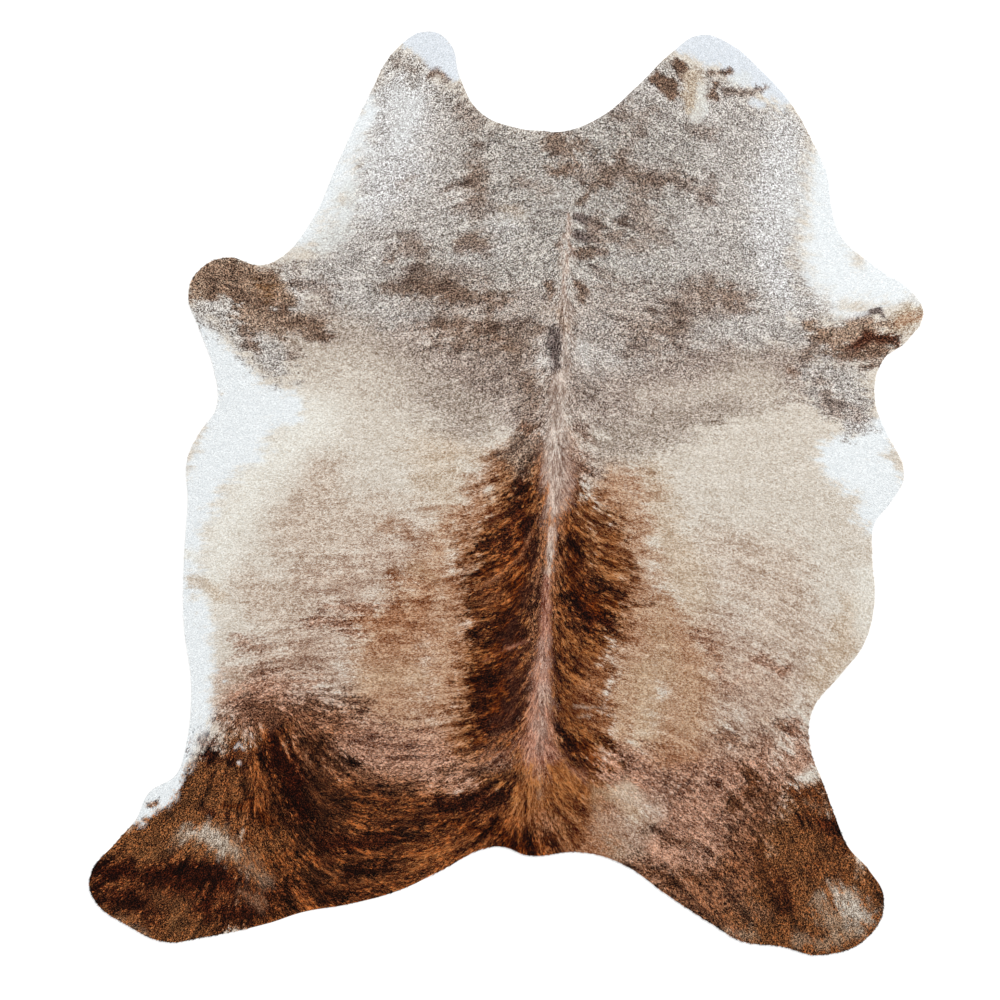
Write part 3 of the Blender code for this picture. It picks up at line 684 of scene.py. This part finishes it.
def hair_way(across, along):
    """The way the hair lies at places in cm, as a unit vector across and along."""
    spine = np.array(SPINE)[::-1]
    turn = np.array(SPINE_TURN)[::-1]
    offset = across - np.interp(along, spine[:, 1], spine[:, 0])
    reach = np.interp(along, turn[:, 0], turn[:, 1])
    # Falls are averaged as doubled angles, as 90 and -90 degrees are one line of hair.
    level, steep = np.zeros_like(across), np.zeros_like(across)
    for x, y, degrees in HAIR_FALL:
        weight = ((across - x) ** 2 + (along - y) ** 2 + FALL_SPREAD) ** -1.5
        level += weight * math.cos(math.radians(2 * degrees))
        steep += weight * math.sin(math.radians(2 * degrees))
    fall = np.degrees(np.arctan2(steep, level)) / 2
    fall += (90 - fall) * np.exp(-np.abs(offset) / reach)
    angle = np.radians(fall)
    return np.where(offset < 0, -1.0, 1.0) * np.cos(angle), -np.sin(angle)


def combed(noise, way, length):
    """Noise drawn out along the hair over a length in cm, mean 0 and deviation 1."""
    rows, columns = np.indices(noise.shape).astype(np.float32)
    total = noise.copy()
    for sign in (1, -1):
        x, y = columns.copy(), rows.copy()
        for step in range(max(1, round(length * CM / CELL / 2))):
            row = np.clip(np.rint(y), 0, noise.shape[0] - 1).astype(np.int32)
            column = np.clip(np.rint(x), 0, noise.shape[1] - 1).astype(np.int32)
            if step:
                total += noise[row, column]
            x += sign * way[0][row, column]
            y += sign * way[1][row, column]
    return (total - total.mean()) / total.std()


def beside_segment(x, y, start, end):
    """How far along a segment each place is, 0 to 1, and how far away from it."""
    (x0, y0), (x1, y1) = start, end
    run = max((x1 - x0) ** 2 + (y1 - y0) ** 2, 1e-9)
    part = np.clip(((x - x0) * (x1 - x0) + (y - y0) * (y1 - y0)) / run, 0, 1)
    return part, np.hypot(x - x0 - part * (x1 - x0), y - y0 - part * (y1 - y0))


def stroke_reach(across, along, path):
    """How far inside a brush stroke each place lies in cm, negative outside it."""
    reach = np.full(across.shape, -1e3)
    for (*start, w0), (*end, w1) in zip(path, path[1:] or path):
        part, away = beside_segment(across, along, start, end)
        reach = np.maximum(reach, w0 + (w1 - w0) * part - away)
    return reach


def srgb(code):
    """The three numbers, 0 to 1, of an sRGB hex colour."""
    return [int(code[i : i + 2], 16) / 255 for i in (0, 2, 4)]


def painted(strokes, across, along, ragged):
    """The nine layers of the coat: pale hair, dark hair, share, brindle and length."""
    layers = np.zeros((*across.shape, 9))
    for coat, cover, soft, *path in strokes:
        pale, dark, *shares = COATS[coat]
        window = []
        for k in (1, 0):
            low = min(p[k] - p[2] for p in path) - 2 * soft
            high = max(p[k] + p[2] for p in path) + 2 * soft
            cells = [max(0, int((end * CM - GRID_LOW[k]) / CELL)) for end in (low, high)]
            window.append(slice(*cells))
        window = tuple(window)
        reach = stroke_reach(across[window], along[window], path)
        mask = 0.5 + (reach + RAGGED * min(soft, RAGGED_SOFT) * ragged[window]) / soft
        mask = np.clip(mask, 0, 1)
        mask = (mask * mask * (3 - 2 * mask) * cover)[..., None]
        layers[window] += (np.array([*srgb(pale), *srgb(dark), *shares]) - layers[window]) * mask
    return layers


def coat_layers():
    """The coat's painted layers, the hair's way and the noises that mottle it."""
    rng = np.random.default_rng(SEED)
    across, along = grid_places()
    way = hair_way(across, along)
    noises = {}
    for key, (width, length) in MOTTLING.items():
        noise = soft_noise(rng, width)
        noises[key] = combed(noise, way, length) if length else noise
    noises["grit"] = rng.standard_normal(across.shape)
    ragged = 0.5 * (noises["fleck"] + noises["stripe"] + noises["blotch"] + noises["grit"])
    strokes = GROUND + WHITES + NECK_MARKS + LEG_MARKS + BACK_MARKS + RUMP_MARKS
    return painted(strokes, across, along, ragged), way, noises


def coat_colours(layers, noises, grit):
    """The sRGB colour of the hair in each cell: pale or dark by its noises."""
    pale, dark = layers[..., :3], layers[..., 3:6]
    share, brindle, length = layers[..., 6], layers[..., 7], layers[..., 8]
    short = 1 - length
    fleck = length * noises["fleck"] + short * noises["short fleck"]
    fleck /= np.sqrt(length**2 + short**2)
    band = length * sum(weight * noises[key] for key, weight in DRAWN_OUT_BAND.items())
    band += short * sum(weight * noises[key] for key, weight in SHORT_BAND.items())
    grit = grit * (1 + SHORT_GRIT * short**2)
    flecked = 1 - BRINDLE_HOLD * brindle
    mix = flecked * fleck + brindle * band + grit * noises["grit"]
    mix /= np.sqrt(flecked**2 + brindle**2 + grit**2)
    # Short hair is more often wholly pale or wholly dark, and gets painted shade, as its roots in
    # shadow show.
    darkness = (mix + SHARE_PULL * np.log(share / (1 - share))) / (BLEND - SHORT_BLEND * short)
    darkness += 0.5 + SHORT_SHADE * short
    return np.clip(pale + (dark - pale) * np.clip(darkness, *TONE_ENDS)[..., None], 0, 1)


def root_colours(layers, noises, fleck):
    """The colour of the hair's roots if every fleck had this one value: low ones are pale
    and high ones dark. The stripes and blotches stay as they are."""
    drawn = ("stripe", "broad stripe", "blotch")
    even = {key: noises[key] if key in drawn else fleck for key in noises}
    return coat_colours(layers, even, SKIN_GRIT)


# ---------------------------------------------------------------- the cut edge
def cad_outline():
    """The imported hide's outline as an anticlockwise loop of places in metres."""
    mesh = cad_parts["hide"].data
    places = [tuple(round(c, 6) for c in v.co) for v in mesh.vertices]
    top = max(p[2] for p in places)
    edges = {}
    for face in mesh.polygons:
        corners = [places[i] for i in face.vertices]
        if min(c[2] for c in corners) > top - 0.1 * MM:
            for a, b in zip(corners, corners[1:] + corners[:1]):
                edges[a[:2], b[:2]] = True
    # An edge of the top that no other face runs back along is on the outline.
    after = {a: b for a, b in edges if (b, a) not in edges}
    loop = [next(iter(after))]
    while after[loop[-1]] != loop[0]:
        loop.append(after[loop[-1]])
    return np.array(loop)


def even_loop(loop, step):
    """The loop as a smooth curve with evenly spaced points about a step apart."""
    before, after, next_after = np.roll(loop, 1, 0), np.roll(loop, -1, 0), np.roll(loop, -2, 0)
    t = (np.arange(8) / 8)[None, :, None]
    fine = 0.5 * (
        2 * loop[:, None]
        + (after - before)[:, None] * t
        + (2 * before - 5 * loop + 4 * after - next_after)[:, None] * t**2
        + (3 * loop - before - 3 * after + next_after)[:, None] * t**3
    ).reshape(-1, 2)
    ends = np.vstack([fine, fine[:1]])
    way = np.concatenate([[0], np.cumsum(np.hypot(*np.diff(ends, axis=0).T))])
    marks = np.linspace(0, way[-1], round(way[-1] / step), endpoint=False)
    return np.stack([np.interp(marks, way, ends[:, k]) for k in (0, 1)], 1)


def loop_normals(loop):
    """Unit vectors that point out of an anticlockwise loop, one for each point."""
    along = np.roll(loop, -1, 0) - np.roll(loop, 1, 0)
    along /= np.linalg.norm(along, axis=1)[:, None]
    return np.stack([along[:, 1], -along[:, 0]], 1)


def edge_distance(loop):
    """A grid layer of the distance in from the cut edge, negative outside, in metres."""
    across, along = (layer * CM for layer in grid_places())
    heights, places = along[:, 0], across[0]
    inside = np.zeros(across.shape, bool)
    away = np.full(across.shape, EDGE_REACH)
    for start, end in zip(loop, np.roll(loop, -1, 0)):
        (x0, y0), (x1, y1) = start, end
        # Inside or outside, by how often a row crosses the loop left of the cell.
        for row in np.flatnonzero((heights > min(y0, y1)) & (heights <= max(y0, y1))):
            inside[row] ^= places > x0 + (heights[row] - y0) * (x1 - x0) / (y1 - y0)
        # The distance to the nearest stretch of the edge, near the edge only.
        window = tuple(
            slice(
                int((min(start[k], end[k]) - EDGE_REACH - GRID_LOW[k]) / CELL),
                int((max(start[k], end[k]) + EDGE_REACH - GRID_LOW[k]) / CELL) + 2,
            )
            for k in (1, 0)
        )
        _, gap = beside_segment(across[window], along[window], start, end)
        away[window] = np.minimum(away[window], gap)
    return np.where(inside, away, -away)


# ---------------------------------------------------------------- meshes
def mesh_object(name, verts, faces, materials=(), attributes=()):
    """An object of a new mesh. attributes are rows of name, kind and values."""
    mesh = bpy.data.meshes.new(name)
    mesh.from_pydata(verts, [], faces)
    for material in materials:
        mesh.materials.append(material)
    for key, kind, values in attributes:
        layer = mesh.attributes.new(key, kind, "POINT")
        field = {"FLOAT_COLOR": "color", "FLOAT_VECTOR": "vector"}.get(kind, "value")
        layer.data.foreach_set(field, np.asarray(values, np.float32).ravel())
    thing = bpy.data.objects.new(name, mesh)
    bpy.context.scene.collection.objects.link(thing)
    return thing


def planar_map(thing):
    """A map seen from above, on which a place on the hide has one place."""
    mesh = thing.data
    corners = np.empty(len(mesh.loops), np.int32)
    mesh.loops.foreach_get("vertex_index", corners)
    places = np.empty(len(mesh.vertices) * 3, np.float32)
    mesh.vertices.foreach_get("co", places)
    places = places.reshape(-1, 3)[:, :2]
    layer = mesh.uv_layers.new(name="OFBake", do_init=False)
    unit = 0.5 + places[corners] / (2.02 * max(np.abs(places).max(), 0.1))
    layer.uv.foreach_set("vector", unit.astype(np.float32).ravel())


def colour_rows(srgb_rows):
    """Rows of sRGB colours as linear colours with an alpha of 1."""
    curved = ((srgb_rows + 0.055) / 1.055) ** 2.4
    rows = np.where(srgb_rows <= 0.04045, srgb_rows / 12.92, curved)
    return np.concatenate([rows, np.ones((len(rows), 1))], 1)


def staggered(low, high, step, inset, gaps):
    """A staggered grid of places at least an inset inside the cut edge."""
    rows = int((high[1] - low[1]) / (step * ROW_STEP)) + 2
    columns = int((high[0] - low[0]) / step) + 2
    row, column = np.mgrid[:rows, :columns]
    x = low[0] + (column + 0.5 * (row % 2)) * step
    y = low[1] + row * step * ROW_STEP
    places = np.stack([x.ravel(), y.ravel()], 1)
    return places[at_places(gaps, *places.T) > inset]


def filled(loop, places):
    """Triangles over a loop and the places in it, with the loop's points first."""
    points = [Vector(p) for p in np.vstack([loop, places])]
    edges = [(i, (i + 1) % len(loop)) for i in range(len(loop))]
    verts, _, faces, sources, _, _ = delaunay_2d_cdt(points, edges, [], 1, 1e-7)
    order = [s[0] for s in sources]
    if len(verts) != len(points) or order != list(range(len(points))):
        raise RuntimeError("the hide's triangles lost or moved a point")
    return faces


def leather(loop, gaps, roots, materials):
    """The leather: a closed sheet with its edge rounded on the hair side."""
    outward = loop_normals(loop)
    walls = [loop - outward * inset for inset, _ in EDGE_RINGS]
    verts = [(x, y, z) for wall, (_, z) in zip(walls, EDGE_RINGS) for x, y in wall]
    count = len(loop)
    faces, bare = [], []  # bare faces are suede, and the others carry hair
    for ring in range(len(EDGE_RINGS) - 1):
        low, high = ring * count, (ring + 1) * count
        for i in range(count):
            after = (i + 1) % count
            faces.append((low + i, low + after, high + after, high + i))
            bare.append(ring < BARE_RINGS)
    top_ring = len(verts) - count
    for first, ring, step, inset, turn, is_bare in (
        (top_ring, -1, TOP_MESH, TOP_INSET, 1, False),
        (0, 0, UNDER_MESH, UNDER_INSET, -1, True),
    ):
        places = staggered(loop.min(0), loop.max(0), step, inset, gaps)
        within = len(verts) - count
        verts += [(x, y, EDGE_RINGS[ring][1]) for x, y in places]
        for face in filled(walls[ring], places):
            faces.append([(first if i < count else within) + i for i in face][::turn])
            bare.append(is_bare)
    x, y, _ = np.array(verts).T
    tones = [
        (key, "FLOAT_COLOR", colour_rows(at_places(tone, x, y))) for key, tone in roots.items()
    ]
    sheet = mesh_object("hide_leather", verts, faces, materials, tones)
    sheet.data.polygons.foreach_set("material_index", np.array(bare, np.int32))
    sheet.data.shade_smooth()
    return sheet


# ---------------------------------------------------------------- the hair
def lock_shape():
    """One lock of hair, a metre long and wide at its root, which ends in a point."""
    verts = [(0, -0.5, 0), (1, 0, 0), (0, 0.5, 0)]
    return mesh_object("hair_lock", verts, [(0, 1, 2)], (), [("along", "FLOAT", (0, 1, 0))])


def add_node(tree, kind, settings=(), sockets=()):
    """A node with its settings, and with its inputs set to values or linked to other
    nodes' outputs. A node given as an input stands for its first output in use."""
    node = tree.nodes.new(kind)
    for key, value in dict(settings).items():
        setattr(node, key, value)
    for key, value in dict(sockets).items():
        # A node keeps a socket of the same name for each kind of data, and uses one.
        in_use = [s for s in node.inputs if s.enabled and s.name == key]
        socket = in_use[0] if in_use else node.inputs[key]
        if isinstance(value, bpy.types.Node):
            value = next(s for s in value.outputs if s.enabled)
        if isinstance(value, bpy.types.NodeSocket):
            tree.links.new(value, socket)
        else:
            socket.default_value = value
    return node


def hair_tree():
    """Geometry nodes that stand a lock of hair on every root and lay it its own way."""
    tree = bpy.data.node_groups.new("hair_locks", "GeometryNodeTree")
    for name, kind, way in (
        ("Roots", "Geometry", "INPUT"),
        ("Lock", "Object", "INPUT"),
        ("Length", "Float", "INPUT"),
        ("Width", "Float", "INPUT"),
        ("Roll", "Float", "INPUT"),
        ("Seed", "Int", "INPUT"),
        ("Material", "Material", "INPUT"),
        ("Hair", "Geometry", "OUTPUT"),
    ):
        tree.interface.new_socket(name, in_out=way, socket_type="NodeSocket" + kind)
    given = add_node(tree, "NodeGroupInput").outputs
    by_root = {
        key: add_node(tree, "GeometryNodeInputNamedAttribute", {"data_type": kind}, {"Name": key})
        for key, kind in (("way", "FLOAT_VECTOR"), ("full", "FLOAT"), ("thick", "FLOAT"))
    }
    lock = add_node(
        tree, "GeometryNodeObjectInfo", {"transform_space": "ORIGINAL"}, {"Object": given["Lock"]}
    )
    align, product = "FunctionNodeAlignRotationToVector", {"operation": "MULTIPLY"}
    lie = add_node(tree, align, {"axis": "X"}, {"Vector": by_root["way"]})
    # A second turn about the lock's own length, which keeps its ridge up.
    upright = add_node(
        tree,
        align,
        {"axis": "Z", "pivot_axis": "X"},
        {"Rotation": lie, "Vector": (0, 0, 1)},
    )
    back = add_node(tree, "ShaderNodeMath", product, {0: given["Roll"], 1: -1})
    roll = add_node(
        tree,
        "FunctionNodeRandomValue",
        {"data_type": "FLOAT"},
        {"Min": back, "Max": given["Roll"], "Seed": given["Seed"]},
    )
    about = add_node(
        tree, "FunctionNodeAxisAngleToRotation", {}, {"Axis": (1, 0, 0), "Angle": roll}
    )
    turned = add_node(
        tree,
        "FunctionNodeRotateRotation",
        {"rotation_space": "LOCAL"},
        {"Rotation": upright, "Rotate By": about},
    )
    long, wide = (
        add_node(tree, "ShaderNodeMath", product, {0: given[whole], 1: by_root[part]})
        for whole, part in (("Length", "full"), ("Width", "thick"))
    )
    size = add_node(tree, "ShaderNodeCombineXYZ", {}, {"X": long, "Y": wide, "Z": wide})
    stood = add_node(
        tree,
        "GeometryNodeInstanceOnPoints",
        {},
        {
            "Points": given["Roots"],
            "Instance": lock.outputs["Geometry"],
            "Rotation": turned,
            "Scale": size,
        },
    )
    real = add_node(tree, "GeometryNodeRealizeInstances", {}, {"Geometry": stood})
    coloured = add_node(
        tree, "GeometryNodeSetMaterial", {}, {"Geometry": real, "Material": given["Material"]}
    )
    add_node(tree, "NodeGroupOutput", {}, {"Hair": coloured})
    return tree


def lock_roots(rng, outline, gaps):
    """Roots on a staggered grid, each moved at random within its own cell, and how far
    each is from the cut edge."""
    step = math.sqrt(RUG_AREA / LOCKS_A_LAYER / ROW_STEP)
    low = outline.min(0) - step * rng.uniform(0, 1, 2)
    roots = staggered(low, outline.max(0), step, -2 * step, gaps)
    roots += rng.uniform(-0.5, 0.5, roots.shape) * step
    gap = at_places(gaps, *roots.T)
    inside = gap > ROOT_INSET
    return roots[inside], gap[inside]


def strayed(rng, lie, drawn_out):
    """The ways that locks lie, each turned a little at random. Where the coat's flecks
    are short its hair is short too, and curls every way."""
    degrees = rng.normal(0, 1, len(lie)) * (SHORT_STRAY - DRAWN_OUT_STRAIGHTER * drawn_out)
    cos, sin = np.cos(np.radians(degrees)), np.sin(np.radians(degrees))
    return np.stack([lie[:, 0] * cos - lie[:, 1] * sin, lie[:, 0] * sin + lie[:, 1] * cos], 1)


def grow(thing, tree, values):
    """Puts the mesh that the geometry nodes make of an object's points in their place."""
    modifier = thing.modifiers.new("hair", "NODES")
    modifier.node_group = tree
    for item in tree.interface.items_tree:
        if item.in_out == "INPUT" and item.name in values:
            modifier[item.identifier] = values[item.name]
    graph = bpy.context.evaluated_depsgraph_get()
    grown = bpy.data.meshes.new_from_object(thing.evaluated_get(graph))
    thing.modifiers.clear()
    points, thing.data = thing.data, grown
    bpy.data.meshes.remove(points)
    grown.name = thing.name
    for spent in ("way", "full", "thick"):
        if spent in grown.attributes:
            grown.attributes.remove(grown.attributes[spent])


def hair_layer(name, tree, lock, material, rng, outline, gaps, coat):
    """One layer of the coat: its locks as a plain mesh."""
    length, width, lift = HAIR_LAYERS[name]
    layers, way, noises = coat
    roots, gap = lock_roots(rng, outline, gaps)
    x, y = roots.T
    lie = np.stack([at_places(part, x, y) for part in way], 1)
    lie /= np.linalg.norm(lie, axis=1)[:, None]
    drawn_out = at_places(layers, x, y)[:, 8]
    lie = strayed(rng, lie, drawn_out)
    # A lock that lies towards the cut edge is trimmed with it.
    slope = [at_places(part, x, y) for part in np.gradient(gaps, CELL)]
    closing = -(slope[1] * lie[:, 0] + slope[0] * lie[:, 1])
    full = rng.uniform(*LENGTH_SPREAD, len(roots))
    full = full * (SHORT_LOCK + DRAWN_OUT_GAIN * drawn_out**DRAWN_OUT_POWER)
    full = np.minimum(full, (gap + OVERHANG) / np.maximum(closing, 0.05) / length)
    keep = full > SHORTEST_KEPT
    roots, lie, full, drawn_out = roots[keep], lie[keep], full[keep], drawn_out[keep]
    up = np.radians(np.clip(rng.normal(lift, LIFT_SPREAD, len(full)), *LIFT_ENDS))
    ways = np.stack([lie[:, 0] * np.cos(up), lie[:, 1] * np.cos(up), np.sin(up)], 1)
    x, y = roots.T
    verts = np.stack([x, y, np.full(len(x), SKIN_TOP - ROOT_DEPTH)], 1)
    # The coat's markings are seen on the locks' middles, not on their roots.
    x, y = (roots + SEEN_AT * length * full[:, None] * lie).T
    mottling = {key: at_places(noise, x, y) for key, noise in noises.items()}
    mottling["grit"] = CELL_GRIT * mottling["grit"] + LOCK_GRIT * rng.standard_normal(len(x))
    hair = coat_colours(at_places(layers, x, y), mottling, HAIR_GRIT)
    attributes = (
        ("way", "FLOAT_VECTOR", ways),
        ("full", "FLOAT", full),
        ("thick", "FLOAT", SHORT_THICK - DRAWN_OUT_THINNER * drawn_out),
        ("coat_colour", "FLOAT_COLOR", colour_rows(hair)),
        ("strand", "FLOAT", rng.uniform(0, 1, len(x))),
    )
    thing = mesh_object(name, verts, [], (), attributes)
    values = {"Lock": lock, "Length": length, "Width": width, "Roll": math.radians(ROLL)}
    grow(thing, tree, {**values, "Seed": SEED, "Material": material})
    planar_map(thing)
    return thing


# ---------------------------------------------------------------- materials
def new_material(name, **sockets):
    """A material and its tree, with these values on the shader's own sockets."""
    material = bpy.data.materials.new(name)
    material.use_nodes = True
    shader = material.node_tree.nodes["Principled BSDF"]
    for key, value in sockets.items():
        shader.inputs[key.replace("_", " ")].default_value = value
    return material, material.node_tree, shader


def linear(code):
    """A hex sRGB colour as linear numbers with an alpha of 1."""
    return tuple(colour_rows(np.array([srgb(code)]))[0])


def short_cow_hair():
    """Short cow hair, coloured by nature and brushed flat, with a weak gloss. Light that
    comes back from between the locks has passed through more hair, so a lock's colour is
    deeper at its root and paler at its tip, and white hair stays white."""
    material, tree, shader = new_material(
        "short_cow_hair", Roughness=0.55, Specular_IOR_Level=0.04, IOR=1.55
    )
    colour, along, strand = (
        add_node(tree, "ShaderNodeAttribute", {"attribute_name": key})
        for key in ("coat_colour", "along", "strand")
    )
    # How deep the colour is: painted shade from root to tip, and a tone that differs at random from
    # one lock to another.
    root_shade, shade = (
        add_node(
            tree,
            "ShaderNodeMapRange",
            {},
            {"Value": source.outputs["Fac"], "To Min": low, "To Max": high},
        )
        for source, low, high in ((along, 1.5, 0.84), (strand, 0.8, 1.2))
    )
    both = add_node(tree, "ShaderNodeMath", {"operation": "MULTIPLY"}, {0: root_shade, 1: shade})
    deep = add_node(tree, "ShaderNodeGamma", {}, {"Color": colour, "Gamma": both})
    tree.links.new(deep.outputs[0], shader.inputs["Base Color"])
    return material


def hair_roots_on_skin():
    """The skin under the hair, grown over with the roots of the locks above it: tufts of
    the coat's pale and dark hair side by side, in shadow and matt."""
    material, tree, shader = new_material(
        "hair_roots_on_skin", Roughness=0.75, Specular_IOR_Level=0.05
    )
    pale, dark = (
        add_node(tree, "ShaderNodeAttribute", {"attribute_name": key}) for key in ROOT_FLECKS
    )
    place = add_node(tree, "ShaderNodeTexCoord").outputs["Object"]
    # Tufts 2.5 mm apart, as far as the cells of the coat.
    tufts = add_node(
        tree, "ShaderNodeTexNoise", {}, {"Vector": place, "Scale": 400.0, "Detail": 1.0}
    )
    share = add_node(
        tree, "ShaderNodeMapRange", {}, {"Value": tufts, "From Min": 0.43, "From Max": 0.57}
    )
    colour = add_node(
        tree, "ShaderNodeMixRGB", {}, {"Fac": share, "Color1": pale, "Color2": dark}
    )
    # Painted shade: the roots' colours darkened to 0.72 for the shadow of the locks above.
    shaded = add_node(
        tree, "ShaderNodeVectorMath", {"operation": "SCALE"}, {"Vector": colour, "Scale": 0.72}
    )
    tree.links.new(shaded.outputs[0], shader.inputs["Base Color"])
    return material


def chrome_tanned_suede():
    """Chrome-tanned leather, shaved and buffed to a suede on the flesh side: pale blue
    grey to buff, cloudy over the hand's breadth, with a fine nap."""
    material, tree, shader = new_material(
        "chrome_tanned_suede",
        Roughness=0.9,
        Specular_IOR_Level=0.2,
        Sheen_Weight=0.3,
        Sheen_Roughness=0.6,
    )
    place = add_node(tree, "ShaderNodeTexCoord").outputs["Object"]
    # Clouds about 110 mm across, and a nap of 2.4 mm, coarser than a real one so it shows.
    cloud, nap = (
        add_node(
            tree,
            "ShaderNodeTexNoise",
            {},
            {"Vector": place, "Scale": scale, "Detail": detail, "Roughness": rough},
        )
        for scale, detail, rough in ((9.0, 4.0, 0.55), (420.0, 2.0, 0.6))
    )
    tone = add_node(tree, "ShaderNodeValToRGB", {}, {"Fac": cloud})
    for stop, at, code in zip(tone.color_ramp.elements, (0.3, 0.7), ("A9A79C", "C4BBA8")):
        stop.position, stop.color = at, linear(code)
    fine = add_node(
        tree, "ShaderNodeMapRange", {}, {"Value": nap, "To Min": 0.86, "To Max": 1.12}
    )
    worn = add_node(
        tree, "ShaderNodeVectorMath", {"operation": "SCALE"}, {"Vector": tone, "Scale": fine}
    )
    tree.links.new(worn.outputs[0], shader.inputs["Base Color"])
    raised = add_node(
        tree, "ShaderNodeBump", {}, {"Height": nap, "Strength": 0.35, "Distance": 0.0006}
    )
    tree.links.new(raised.outputs[0], shader.inputs["Normal"])
    return material


def matt_white_paint():
    """The seamless pale studio floor, matt, which lets the hide's own outline show."""
    material, _, _ = new_material(
        "matt_white_paint", Base_Color=linear("F4F4F4"), Roughness=0.9, Specular_IOR_Level=0.1
    )
    return material


# ---------------------------------------------------------------- the studio
FRAME_WIDTH = 2.305  # metres of floor across the photograph
FRAME_MIDDLE = (-0.0138, -0.0156)
LENS = 100
SENSOR = 36
FLOOR_HALF = 6.0
LAMPS = {
    # name: place, width across, watts
    "key_light": ((2.6, 3.0, 4.2), 2.4, 226),
    "fill_light": ((-2.6, -1.4, 3.8), 3.4, 60),
}
ROOM_LIGHT = 0.7


def studio():
    """The floor, the soft light and the camera straight above the hide."""
    corners = [(x * FLOOR_HALF, y * FLOOR_HALF, 0) for x, y in ((-1, -1), (1, -1), (1, 1), (-1, 1))]
    floor = mesh_object("studio_floor", corners, [(0, 1, 2, 3)], (matt_white_paint(),))
    for name, (place, size, watts) in LAMPS.items():
        light = bpy.data.lights.new(name, "AREA")
        light.shape, light.size, light.energy = "DISK", size, watts
        lamp = bpy.data.objects.new(name, light)
        lamp.location = place
        lamp.rotation_euler = (-Vector(place)).to_track_quat("-Z", "Y").to_euler()
        bpy.context.scene.collection.objects.link(lamp)
    world = bpy.data.worlds.new("soft_white_room")
    world.use_nodes = True
    room = world.node_tree.nodes["Background"].inputs
    room["Color"].default_value = (1, 1, 1, 1)
    room["Strength"].default_value = ROOM_LIGHT
    bpy.context.scene.world = world
    bpy.context.scene.view_settings.view_transform = "Standard"

    lens = bpy.data.cameras.new("camera")
    lens.lens, lens.sensor_width = LENS, SENSOR
    lens.clip_end = 100
    camera = bpy.data.objects.new("camera", lens)
    camera.location = (*FRAME_MIDDLE, FRAME_WIDTH * LENS / SENSOR)
    bpy.context.scene.collection.objects.link(camera)
    bpy.context.scene.camera = camera


# ---------------------------------------------------------------- the rug
def main():
    studio()
    outline = even_loop(cad_outline(), EDGE_STEP)
    gaps = edge_distance(outline)
    coat = coat_layers()
    layers, _, noises = coat
    roots = {key: root_colours(layers, noises, fleck) for key, fleck in ROOT_FLECKS.items()}
    skin = leather(outline, gaps, roots, (hair_roots_on_skin(), chrome_tanned_suede()))
    planar_map(skin)

    rng = np.random.default_rng(SEED)
    tree, lock, hair = hair_tree(), lock_shape(), short_cow_hair()
    coats = [hair_layer(name, tree, lock, hair, rng, outline, gaps, coat) for name in HAIR_LAYERS]
    bpy.data.objects.remove(lock)

    for piece in (skin, *coats):
        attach(piece, "root")
    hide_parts("hide")


main()
